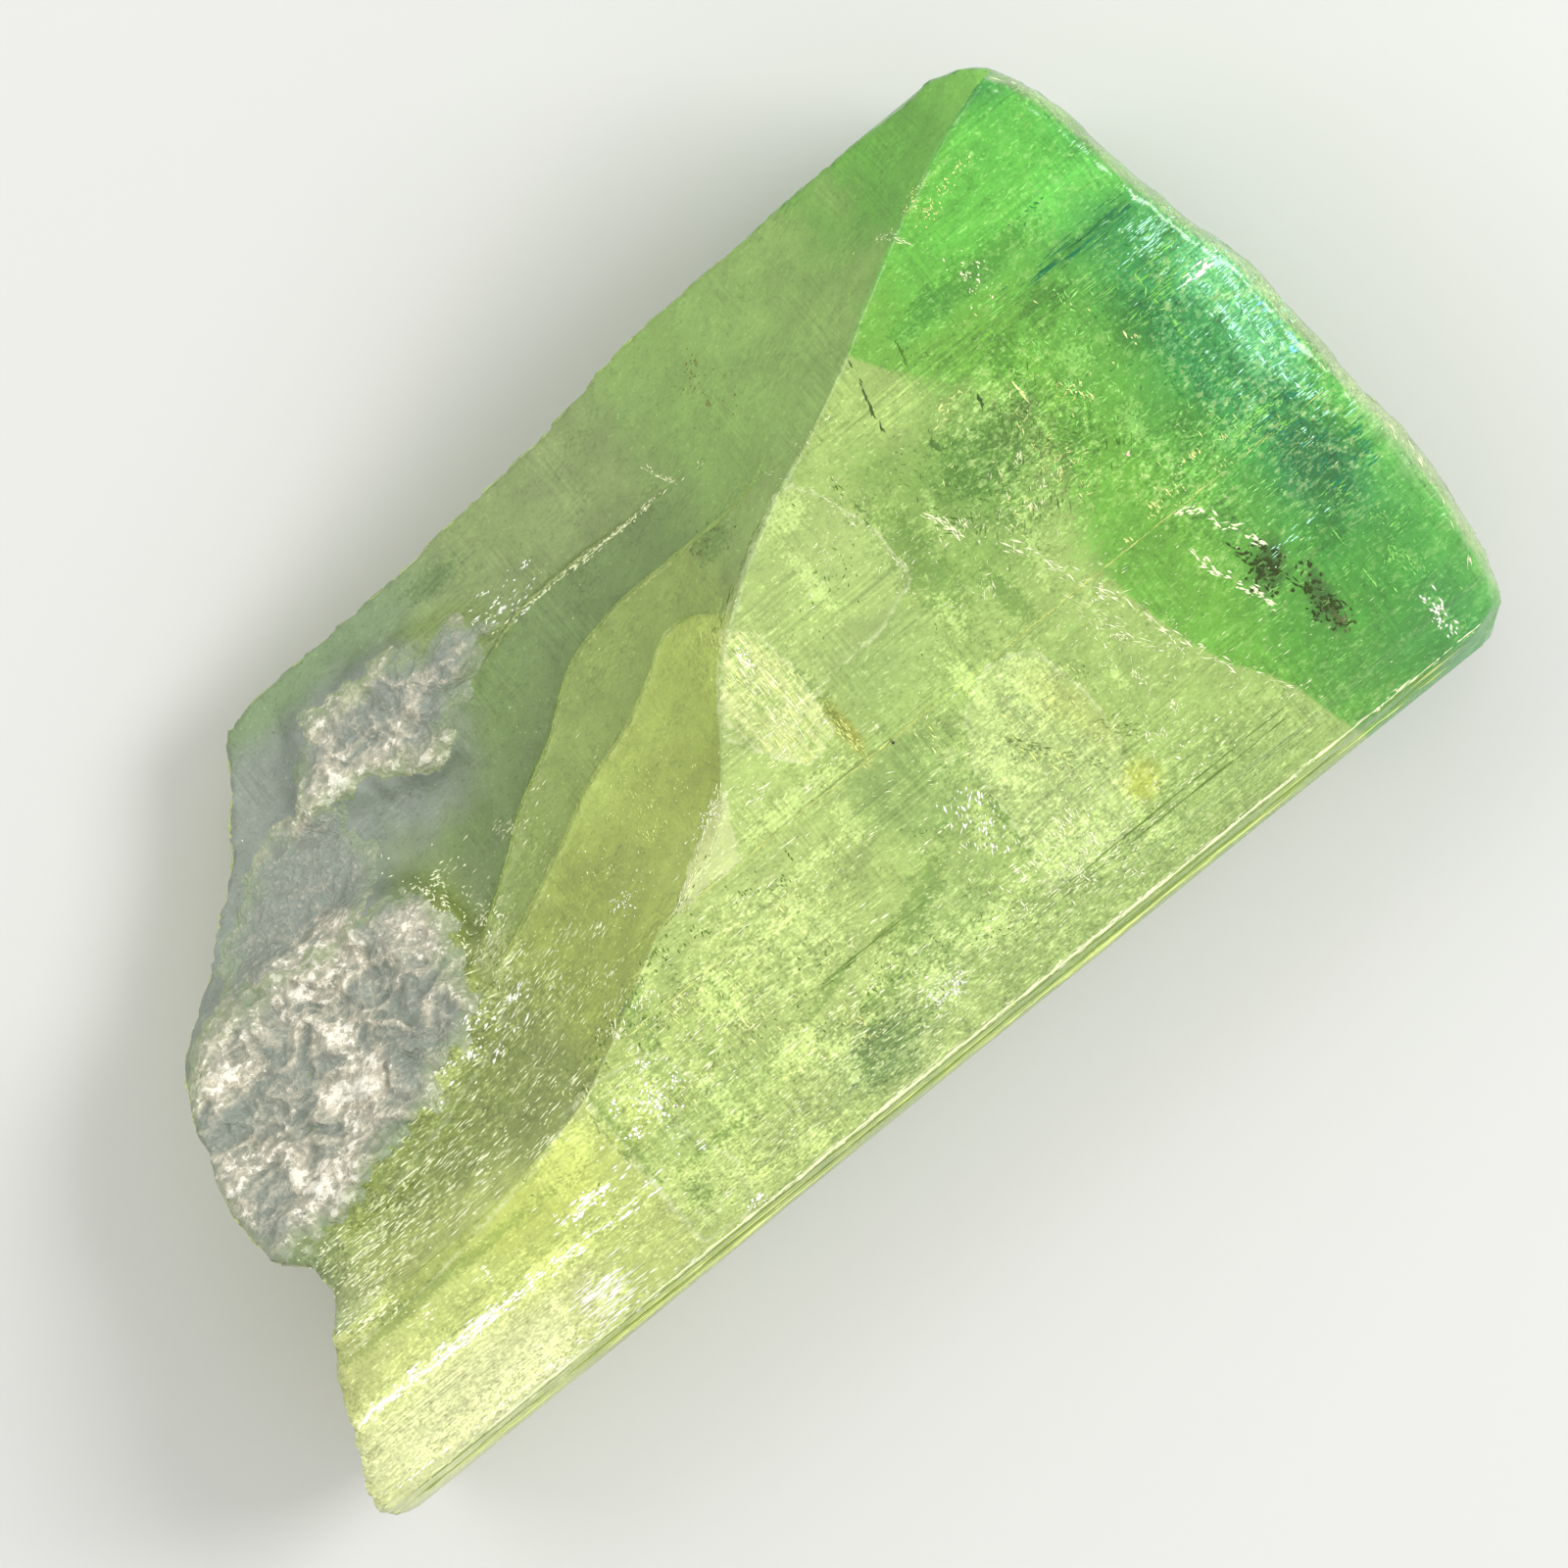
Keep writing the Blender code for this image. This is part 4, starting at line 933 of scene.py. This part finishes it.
# pale flake colours: painted glints, standing in for the light that small facets catch
WHITE, CREAM, YELLOW = (255, 255, 240), (248, 252, 206), (234, 244, 152)
CYAN, SKY = (190, 255, 220), (150, 230, 240)
LEAF, ROSE = (146, 222, 104), (255, 214, 196)
GLINTS = [
    # count, centre (u, v), spread, (turn, its spread), length, width, colour, strength of clumping
    (230, (4.4, 2.2), (2.6, 0.09), ALONG_U, (0.12, 0.55), BROAD, WHITE, 0.5),
    (50, (7.4, 2.75), (0.5, 0.12), ALONG_U, (0.1, 0.4), BROAD, WHITE, 0.5),
    (70, (6.45, 1.0), (0.35, 0.3), (0, 2), (0.3, 0.9), FULL, WHITE, 0.2),
    (110, (3.5, 0.75), (2.2, 0.22), ALONG_U, (0.1, 0.5), FULL, CREAM, 0.7),
    (60, (4.6, 0.55), (2.6, 0.08), ALONG_U, (0.1, 0.4), BROAD, WHITE, 0.9),
    (90, (2.6, 3.6), (1.1, 0.6), ALONG_U, (0.1, 0.45), FULL, CREAM, 0.7),
    (160, (3.4, 5.0), (1.3, 0.5), ALONG_U, (0.1, 0.5), FINE, CREAM, 0.6),
    (420, (6.6, 6.1), (2.1, 0.9), (0, 6), (0.08, 0.5), THIN, CREAM, 0.6),
    (220, (8.8, 7.5), (1.1, 0.7), (3, 7), (0.08, 0.5), THIN, CREAM, 0.6),
    (60, (6.4, 6.6), (0.9, 0.3), (8, 12), (0.1, 0.4), BROAD, WHITE, 0.7),
    (220, (4.4, 4.6), (1.9, 0.4), ALONG_U, (0.1, 0.5), SLIM, CREAM, 0.7),
    (140, (8.9, 9.2), (0.35, 0.8), (20, 40), (0.06, 0.3), FULL, CREAM, 0.6),
    (60, (7.9, 7.0), (0.7, 0.3), (20, 20), (0.1, 0.4), BROAD, WHITE, 0.7),
    (60, (10.6, 9.4), (1.2, 0.5), (2, 5), (0.08, 0.35), THIN, CREAM, 0.6),
    (16, (11.7, 7.02), (0.13, 0.12), ANY_WAY, (0.04, 0.1), BROAD, WHITE, 0.0),
    (18, (14.2, 7.2), (0.16, 0.1), ANY_WAY, (0.04, 0.1), BROAD, WHITE, 0.0),
    (50, (11.8, 7.4), (1.2, 0.8), (90, 30), (0.05, 0.15), THIN, CREAM, 0.7),
    (90, (13.4, 8.6), (0.7, 0.5), (90, 20), (0.05, 0.2), HAIR, YELLOW, 0.6),
    (110, (15.8, 12.93), (1.3, 0.03), ALONG_U, (0.06, 0.3), FINE, CREAM, 0.4),
    (50, (13.7, 13.3), (0.5, 0.22), (8, 14), (0.1, 0.4), (0.02, 0.045), WHITE, 0.5),
    (90, (9.6, 3.5), (0.4, 0.4), (40, 40), (0.05, 0.18), (0.03, 0.07), WHITE, 0.6),
    (50, (10.4, 5.2), (0.5, 0.4), (50, 20), (0.1, 0.3), (0.02, 0.04), CREAM, 0.6),
    (16, (10.0, 0.55), (0.2, 0.08), ANY_WAY, (0.05, 0.12), (0.04, 0.07), WHITE, 0.0),
    (260, (17.0, 0.44), (7.0, 0.03), (0, 2), (0.1, 0.7), SLIM, CREAM, 0.6),
    (80, (14.8, 0.42), (7.0, 0.012), (0, 0.2), (1.0, 4.0), (0.02, 0.03), CREAM, 0.0),
    (70, (14.8, 0.29), (7.0, 0.014), (0, 0.2), (1.0, 4.0), (0.015, 0.025), YELLOW, 0.0),
    (70, (14.8, 0.16), (7.0, 0.014), (0, 0.2), (1.0, 4.0), (0.015, 0.025), YELLOW, 0.0),
    (260, (12.0, 2.0), (3.0, 1.0), ALONG_U, (0.08, 0.4), SLIM, CREAM, 0.8),
    (170, (11.5, 3.4), (1.8, 1.1), ACROSS, (0.08, 0.35), SLIM, YELLOW, 0.8),
    (180, (18.6, 1.5), (3.2, 0.4), ALONG_U, (0.08, 0.4), SLIM, CREAM, 0.8),
    (90, (15.65, 1.5), (0.25, 0.15), ANY_WAY, (0.04, 0.14), BROAD, WHITE, 0.5),
    (50, (18.3, 3.8), (0.22, 0.4), (65, 10), (0.1, 0.35), (0.025, 0.05), WHITE, 0.4),
    (160, (19.6, 2.3), (1.1, 0.7), ACROSS, (0.08, 0.4), SLIM, CREAM, 0.7),
    (120, (20.0, 4.4), (0.9, 0.9), ACROSS, (0.08, 0.35), FINE, YELLOW, 0.7),
    (70, (22.6, 3.8), (0.5, 1.0), (75, 25), (0.08, 0.3), SLIM, CREAM, 0.7),
    (110, (16.6, 8.6), (0.35, 0.8), (90, 6), (0.15, 0.6), FINE, YELLOW, 0.3),
    (60, (16.65, 8.5), (0.2, 0.6), (90, 3), (0.2, 0.7), (0.02, 0.035), CREAM, 0.3),
    (16, (16.75, 9.2), (0.08, 0.14), ANY_WAY, (0.04, 0.1), BROAD, WHITE, 0.0),
    (40, (17.35, 6.8), (0.06, 0.35), (95, 10), (0.1, 0.4), (0.015, 0.03), YELLOW, 0.3),
    (110, (15.4, 6.9), (1.2, 0.5), ALONG_U, (0.08, 0.4), (0.015, 0.03), CREAM, 0.8),
    (120, (19.6, 9.0), (2.0, 1.4), (60, 50), (0.06, 0.25), (0.01, 0.03), CREAM, 0.8),
    (60, (22.4, 8.3), (0.8, 0.5), (60, 25), (0.1, 0.45), THIN, CREAM, 0.7),
    (110, (23.9, 8.6), (0.9, 1.0), (30, 50), (0.08, 0.35), THIN, YELLOW, 0.7),
    (130, (25.7, 9.3), (0.9, 1.5), (50, 50), (0.08, 0.35), (0.02, 0.04), LEAF, 0.7),
    (24, (25.6, 9.6), (0.6, 1.2), ACROSS, (0.1, 0.3), FULL, YELLOW, 0.8),
    (50, (25.6, 6.5), (0.7, 0.2), ACROSS, (0.06, 0.25), SLIM, YELLOW, 0.8),
    (24, (25.05, 12.3), (0.2, 0.3), ANY_WAY, (0.06, 0.2), (0.02, 0.045), CREAM, 0.4),
    (60, (25.2, 13.9), (0.8, 0.3), ANY_WAY, (0.05, 0.2), SLIM, YELLOW, 0.8),
    (160, (27.0, 12.9), (1.5, 1.1), ALONG_U, (0.06, 0.25), THIN, LEAF, 0.8),
    (110, (28.7, 8.2), (0.45, 1.3), (0, 3), (0.1, 0.45), FINE, CYAN, 0.7),
    (50, (28.9, 8.0), (0.35, 1.2), ACROSS, (0.08, 0.3), FULL, CYAN, 0.7),
    (34, (28.95, 8.3), (0.08, 0.7), (0, 2), (0.15, 0.4), (0.02, 0.045), CYAN, 0.6),
    (40, (28.5, 8.5), (0.06, 0.7), (0, 2), (0.15, 0.35), (0.02, 0.04), CYAN, 0.6),
    (24, (29.2, 7.8), (0.08, 0.6), (0, 2), (0.15, 0.4), (0.02, 0.04), SKY, 0.6),
    (30, (27.6, 8.0), (0.06, 0.9), (0, 2), (0.08, 0.3), FINE, LEAF, 0.6),
    (30, (28.7, 9.6), (0.3, 0.08), (0, 3), (0.15, 0.4), (0.03, 0.05), WHITE, 0.5),
    (90, (28.3, 10.6), (0.6, 0.5), (0, 3), (0.1, 0.5), THIN, CYAN, 0.7),
    (130, (27.5, 10.6), (1.2, 0.8), (0, 3), (0.2, 0.9), (0.01, 0.025), LEAF, 0.6),
    (130, (27.4, 6.6), (1.0, 0.25), (0, 3), (0.08, 0.4), FINE, LEAF, 0.7),
    (20, (27.5, 6.6), (0.9, 0.2), ACROSS, (0.1, 0.3), (0.015, 0.03), YELLOW, 0.7),
    (160, (27.4, 4.2), (1.2, 1.2), (0, 4), (0.08, 0.4), THIN, LEAF, 0.8),
    (80, (28.6, 2.0), (0.5, 0.9), ACROSS, (0.08, 0.3), FINE, LEAF, 0.8),
    (30, (28.25, 1.15), (0.1, 0.25), ACROSS, (0.1, 0.4), (0.03, 0.07), WHITE, 0.4),
    (14, (26.9, 4.2), (0.5, 0.1), ALONG_U, (0.1, 0.4), (0.02, 0.04), CYAN, 0.3),
    (5, (25.25, 7.6), (0.03, 0.03), ANY_WAY, (0.06, 0.12), (0.04, 0.07), ROSE, 0.0),
    (200, (19.5, 6.15), (5.5, 0.012), (0, 0.5), (0.1, 0.8), (0.008, 0.016), YELLOW, 0.5),
    (34, (10.6, 4.86), (1.3, 0.012), (0, 0.5), (0.2, 0.9), HAIR, YELLOW, 0.3),
    (110, (12.5, 4.7), (2.2, 0.7), ALONG_U, (0.1, 0.5), (0.015, 0.03), CREAM, 0.7),
    (300, (20.0, 3.5), (5.0, 2.2), (0, 5), (0.06, 0.3), (0.01, 0.025), CREAM, 0.8),
    (60, (14.5, 11.5), (4.5, 2.0), ANY_WAY, (0.03, 0.08), (0.015, 0.03), CREAM, 0.6),
]
CURVES = [  # count, points (u, v), spread beside the curve, length, width, colour
    (46, [(25.15, 5.4), (25.1, 4.9), (25.3, 4.4), (25.6, 3.8), (25.7, 3.4)], 0.05, (0.1, 0.3),
     (0.03, 0.07), CREAM),
    (40, [(25.2, 6.1), (25.7, 5.9), (25.8, 5.4), (26.1, 5.0), (26.3, 4.4)], 0.05, (0.1, 0.3),
     (0.03, 0.07), CREAM),
    (90, [(22.2, 7.8), (22.6, 7.0), (22.9, 6.3), (23.4, 5.3), (23.7, 4.3), (24.1, 3.3), (25.0, 1.8)],
     0.08, (0.1, 0.4), (0.015, 0.045), CREAM),
    (50, [(22.5, 6.0), (22.9, 5.0), (23.3, 4.2)], 0.1, (0.1, 0.3), (0.015, 0.03), CREAM),
    (36, [(19.3, 12.0), (19.7, 11.3), (20.1, 10.4), (20.3, 9.4), (20.35, 8.6)], 0.04, (0.08, 0.25), THIN,
     CREAM),
    (40, [(21.3, 9.2), (21.5, 8.9), (21.6, 8.4)], 0.05, (0.08, 0.25), (0.02, 0.04), CREAM),
    (30, [(15.4, 6.0), (16.5, 5.9), (18.0, 5.4), (19.0, 5.0)], 0.25, (0.1, 0.3), THIN, CREAM),
    (36, [(17.6, 13.6), (17.75, 13.2), (17.9, 12.95)], 0.03, (0.06, 0.2), (0.015, 0.03), CREAM),
    (30, [(24.1, 14.1), (24.3, 13.9), (24.5, 13.6)], 0.04, (0.06, 0.2), (0.015, 0.03), CREAM),
    (60, [(12.5, 6.15), (13.2, 6.6), (14.2, 7.25), (14.7, 7.6)], 0.04, (0.06, 0.25), THIN, CREAM),
    (90, [(27.6, 15.3), (28.6, 14.4), (28.9, 13.2), (29.2, 11.2), (29.7, 9.0), (29.85, 6.0),
           (29.75, 3.4), (29.3, 1.4)], 0.05, (0.15, 0.5), FULL, CREAM),
]
print(len(GLINTS), "clusters and", len(CURVES), "curves of flakes")

# %% [markdown]
# ## Laying the flakes
# Chance decides the place, turn and size of each flake, from a fixed seed, so every run gives the same
# crystal. Part of a cluster gathers in clumps. A ray from above finds the skin under each flake, which
# is then laid along it and sunk by a third. A long flake is left out where the skin bends away under its
# ends, as it would stand off like a splinter.

# %% Lay the flakes on the skin
chance = np.random.default_rng(7)
DENSER, SHORTER, WIDER = 1.6, 0.72, 1.25
CLUMP_SIZE, CLUMP_WIDTH, FARTHEST = 9, 0.16, 2.1
MOSTLY_SHORT, SWAY = 1.7, 12
LONG_FLAKE, LIFTED_END, LEAST_FACING_UP = 0.15, 0.03, 0.25
RAISED, RAGGED, TONES, LOWEST = 0.2, (0.55, 1.15), (0.8, 1.0), 0.02
DRAWING_SPAN, FULL_GLOW, GLOW_STRENGTH = (31, 17), 60, 1.6


def one_flake():
    """Points and faces of a flat double cone with four sides, one unit in radius."""
    bm = bmesh.new()
    bmesh.ops.create_uvsphere(bm, u_segments=4, v_segments=2, radius=1.0)
    bm.verts.index_update()
    points = np.array([vert.co for vert in bm.verts])
    faces = np.array([[vert.index for vert in face.verts] for face in bm.faces])
    bm.free()
    return points, faces


def flakes_of(clusters, curves):
    """Rows of u, v, turn, length, width and colour for every flake."""
    rows = []
    for count, centre, spread, turning, length, width, tint, clumping in clusters:
        clumps = chance.normal(size=(max(3, count // CLUMP_SIZE), 2))
        shortest, longest = length[0] * SHORTER, length[1] * SHORTER
        for _ in range(round(count * DENSER)):
            offset = chance.normal(size=2)
            if chance.random() < clumping:
                offset = clumps[chance.integers(len(clumps))] + CLUMP_WIDTH * offset
            u, v = np.array(centre) + np.clip(offset, -FARTHEST, FARTHEST) * spread
            stretch = chance.random() ** MOSTLY_SHORT
            rows.append((u, v, turning[0] + turning[1] * chance.normal(),
                         shortest + stretch * (longest - shortest), WIDER * chance.uniform(*width), tint))
    for count, points, beside, length, width, tint in curves:
        points = np.array(points)
        for _ in range(count):
            k = chance.integers(len(points) - 1)
            step = points[k + 1] - points[k]
            u, v = points[k] + chance.random() * step + beside * chance.normal(size=2)
            turn = math.degrees(math.atan2(step[1], step[0])) + SWAY * chance.normal()
            rows.append((u, v, turn, chance.uniform(*length), chance.uniform(*width), tint))
    return rows


def scatter(name, rows, thickness, roughness, ior, slot):
    """One mesh with a flake on the skin for each row, and its own plain finish."""
    template, template_faces = one_flake()
    points, faces, tones = [], [], []
    for u, v, turn, length, width, tint in rows:
        ground = skin_at(u, v)
        if ground is None or ground[1].z < LEAST_FACING_UP:
            continue
        place, facing = ground
        along = Vector((math.cos(math.radians(turn)), math.sin(math.radians(turn)), 0.0))
        ends = [skin_at(u + side * along.x * length / 2, v + side * along.y * length / 2)
                for side in (-1, 1)]
        if length > LONG_FLAKE and any(end is None or abs(facing.dot(end[0] - place)) > LIFTED_END
                                       for end in ends):
            continue
        along = (along - facing * along.dot(facing)).normalized()
        frame_here = np.array([along * length / 2, facing.cross(along) * width / 2,
                               facing * thickness / 2])
        ragged = template * chance.uniform(*RAGGED, size=(len(template), 1))
        points.append(ragged @ frame_here + np.array(place + facing * thickness * RAISED))
        faces.append(template_faces + len(template) * len(faces))
        tones.append(np.tile(colour(*tint) * chance.uniform(*TONES), (len(template), 1)))
    points = np.concatenate(points)
    points[:, 2] = np.maximum(points[:, 2], LOWEST)
    mesh = bpy.data.meshes.new(name)
    mesh.from_pydata((points * MM).tolist(), [], np.concatenate(faces).tolist())
    paint_points(mesh, tone=np.concatenate(tones))
    print(name, len(faces), "flakes")
    finish = Finish(slot)
    finish.set(Base_Color=finish.painted("tone", "Color"), Roughness=roughness, IOR=ior)
    mesh.materials.append(finish.material)
    return plain_object(name, mesh)


def glow_around(rows, uv, cell=0.1, reach=3):
    """How many flakes lie near each point, from 0 to 1, counted in square cells and smoothed."""
    size = (int(DRAWING_SPAN[0] / cell), int(DRAWING_SPAN[1] / cell))
    counts = np.zeros(size)
    for u, v, _, length, width, _ in rows:
        i, j = int(u / cell), int(v / cell)
        if 0 <= i < size[0] and 0 <= j < size[1]:
            counts[i, j] += min(1.0, FULL_GLOW * length * width)
    for axis in (0, 0, 1, 1):
        shifted = [np.roll(counts, shift, axis) for shift in range(-reach + 1, reach)]
        counts = sum(shifted) / len(shifted)
    i, j = [np.clip((uv[:, k] / cell).astype(int), 0, size[k] - 1) for k in (0, 1)]
    return np.clip(counts[i, j] * GLOW_STRENGTH, 0.0, 1.0)


every = 1
glint_rows = flakes_of(GLINTS, CURVES)
paint_points(crystal.data, glow=glow_around(glint_rows, uvw) * face_up)
glints = scatter("glints", glint_rows[::every], 0.03, 0.3, 1.63, "veil")
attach(glints, "root")

# %% [markdown]
# ## Dark needles and grains
# Foreign grains are enclosed near the surface: curved needles and hairline cracks, small lens-shaped
# grains, and a cluster of dark olive fragments near the termination. They use the same flakes, in dark
# colours, laid end to end along the needles and the cracks, and at random turns in the cluster.

# %% Lay the dark grains
OLIVE, MOSS, INK = (46, 66, 8), (84, 124, 38), (24, 30, 14)
GRAINS = [
    (30, (10.2, 4.9), (0.7, 0.25), (75, 20), (0.06, 0.25), (0.02, 0.045), MOSS, 0.5),
    (60, (12.2, 5.7), (1.3, 0.3), ACROSS, (0.05, 0.2), FINE, MOSS, 0.6),
    (2, (17.97, 6.13), (0.01, 0.02), ACROSS, (0.1, 0.14), (0.06, 0.08), INK, 0.0),
    (3, (22.36, 10.2), (0.02, 0.05), (110, 4), (0.3, 0.42), (0.08, 0.12), (84, 120, 48), 0.0),
    (3, (23.6, 10.27), (0.03, 0.05), (62, 6), (0.25, 0.35), (0.05, 0.08), (56, 88, 34), 0.0),
    (60, (26.0, 4.1), (0.22, 0.25), ANY_WAY, (0.08, 0.3), (0.04, 0.12), OLIVE, 0.4),
    (50, (26.5, 3.0), (0.16, 0.35), (100, 40), (0.08, 0.35), (0.04, 0.1), OLIVE, 0.4),
    (20, (26.6, 2.4), (0.1, 0.2), (95, 20), (0.15, 0.4), BROAD, (96, 104, 58), 0.2),
    (44, (27.2, 11.55), (0.9, 0.12), (0, 2), (0.3, 1.3), (0.012, 0.025), (44, 128, 84), 0.3),
    (16, (21.3, 1.47), (1.4, 0.01), (0, 0.3), (0.8, 2.0), (0.015, 0.025), (112, 142, 66), 0.0),
    (16, (21.3, 1.66), (1.4, 0.01), (0, 0.3), (0.8, 2.0), (0.015, 0.025), (112, 142, 66), 0.0),
    (16, (14.2, 3.2), (1.0, 0.05), (0, 0.3), (0.6, 1.6), (0.012, 0.02), (112, 142, 66), 0.0),
    (60, (14.8, 0.355), (7.0, 0.01), (0, 0.2), (1.0, 4.0), (0.01, 0.018), (146, 168, 88), 0.0),
    (60, (14.8, 0.225), (7.0, 0.01), (0, 0.2), (1.0, 4.0), (0.01, 0.018), (146, 168, 88), 0.0),
    (60, (23.5, 9.0), (1.0, 0.8), (50, 8), (0.15, 0.6), HAIR, MOSS, 0.5),
    (60, (23.2, 8.8), (1.0, 0.8), (125, 10), (0.1, 0.5), HAIR, MOSS, 0.5),
    (60, (26.8, 9.5), (0.9, 1.5), (0, 40), (0.06, 0.25), FULL, (40, 136, 62), 0.6),
    (120, (15.0, 2.5), (4.0, 1.3), (90, 40), (0.05, 0.2), SLIM, MOSS, 0.8),
    (60, (20.0, 9.6), (1.6, 1.4), (80, 30), (0.05, 0.2), THIN, MOSS, 0.7),
    (30, (19.5, 14.0), (0.3, 0.6), ANY_WAY, (0.05, 0.14), BROAD, (132, 132, 72), 0.6),
    (24, (6.5, 11.1), (0.7, 0.35), ANY_WAY, (0.03, 0.08), (0.02, 0.04), (96, 108, 92), 0.5),
    (20, (17.6, 11.5), (0.3, 0.2), ANY_WAY, (0.08, 0.2), (0.04, 0.08), (110, 128, 76), 0.4),
    (60, (28.3, 5.4), (0.5, 0.9), (0, 3), (0.15, 0.6), FULL, (44, 132, 92), 0.6),
]
NEEDLES = [
    (22, [(22.05, 12.55), (21.98, 12.1), (21.85, 11.7), (21.75, 11.35), (21.72, 11.05)], 0.015,
     (0.15, 0.4), (0.03, 0.05), (70, 96, 40)),
    (14, [(23.05, 12.3), (22.95, 11.9), (22.9, 11.75)], 0.015, (0.1, 0.3), (0.015, 0.03), MOSS),
    (34, [(19.75, 4.8), (20.1, 4.3), (20.5, 3.7), (21.0, 3.05)], 0.05, (0.08, 0.3), (0.02, 0.045),
     (112, 132, 66)),
    (24, [(21.4, 3.9), (21.7, 3.5), (22.1, 3.0)], 0.06, (0.06, 0.2), SLIM, (112, 132, 66)),
    (40, [(25.7, 4.9), (25.9, 4.3), (26.2, 3.8), (26.4, 3.2), (26.75, 2.7), (26.8, 2.2)], 0.06,
     (0.1, 0.35), BROAD, OLIVE),
    (20, [(26.4, 2.8), (26.35, 2.5), (26.55, 2.2), (26.75, 2.15)], 0.015, (0.08, 0.2), (0.02, 0.035),
     OLIVE),
    (30, [(10.3, 5.2), (11.9, 6.0), (13.0, 6.35), (13.8, 6.75)], 0.03, (0.08, 0.3), FINE,
     (120, 142, 62)),
    (26, [(16.6, 10.05), (17.4, 10.5), (18.6, 11.15)], 0.03, (0.1, 0.3), (0.015, 0.03), (116, 136, 74)),
    (20, [(20.3, 11.0), (20.35, 10.2), (20.4, 9.4)], 0.04, (0.08, 0.25), (0.012, 0.025), MOSS),
    (16, [(8.5, 4.4), (8.5, 3.4), (8.6, 2.6)], 0.03, (0.1, 0.4), (0.02, 0.04), (140, 164, 84)),
]
grains = scatter("grains", flakes_of(GRAINS, NEEDLES)[::every], 0.025, 0.6, 1.4, "inclusion")
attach(grains, "root")

# %% [markdown]
# ## The studio
# The crystal lies on a plain pale floor, which also lights it from below, as it is see-through. The light
# is soft: a bright even sky and two large panels. The camera looks straight down with a long lens, and is
# turned so that the crystal leans across the picture from the lower left to the upper right. Six bounces
# are enough for one clear solid, and keep the picture quick.

# %% Floor, light and camera
FRAME_SPAN = 31.94  # mm across the picture at the height of the crystal's faces
FACE_HEIGHT = 5.5
CAMERA_X, CAMERA_Y, CAMERA_TURN = 0.75, -1.16, -39.0
LENS, SENSOR = 250.0, 36.0

bm = bmesh.new()
bmesh.ops.create_grid(bm, x_segments=1, y_segments=1, size=0.5)
floor = plain_object("floor", mesh_of(bm, "floor"))
finish = Finish("pale_floor")
finish.set(Base_Color=shade(205, 205, 202), Roughness=0.6)
floor.data.materials.append(finish.material)

scene = bpy.context.scene
scene.world = bpy.data.worlds.new("soft sky")
scene.world.use_nodes = True
sky = scene.world.node_tree.nodes["Background"]
sky.inputs[0].default_value = (1.0, 1.0, 1.0, 1.0)
sky.inputs[1].default_value = 0.85


def panel(name, place, size, power):
    """A large soft light that faces the crystal."""
    lamp = bpy.data.lights.new(name, "AREA")
    lamp.shape, lamp.size, lamp.energy = "SQUARE", size, power
    made = plain_object(name, lamp)
    made.location = place
    made.rotation_euler = (-Vector(place)).to_track_quat("-Z", "Y").to_euler()


panel("key", (0.16, -0.06, 0.2), 0.12, 0.42)
panel("fill", (-0.12, 0.18, 0.22), 0.16, 0.2)

camera = plain_object("camera", bpy.data.cameras.new("camera"))
camera.data.lens, camera.data.sensor_width = LENS, SENSOR
camera.data.clip_start, camera.data.clip_end = 0.01, 2.0
above = FACE_HEIGHT + FRAME_SPAN * LENS / SENSOR
camera.location = (CAMERA_X * MM, CAMERA_Y * MM, above * MM)
camera.rotation_euler = (0.0, 0.0, math.radians(CAMERA_TURN))
scene.camera = camera
scene.view_settings.view_transform = "Standard"
scene.cycles.use_denoising = True
scene.cycles.adaptive_threshold = 0.08
scene.cycles.max_bounces = scene.cycles.transmission_bounces = 6
scene.cycles.diffuse_bounces = scene.cycles.glossy_bounces = 2
print("camera", round(above, 1), "mm above the floor")
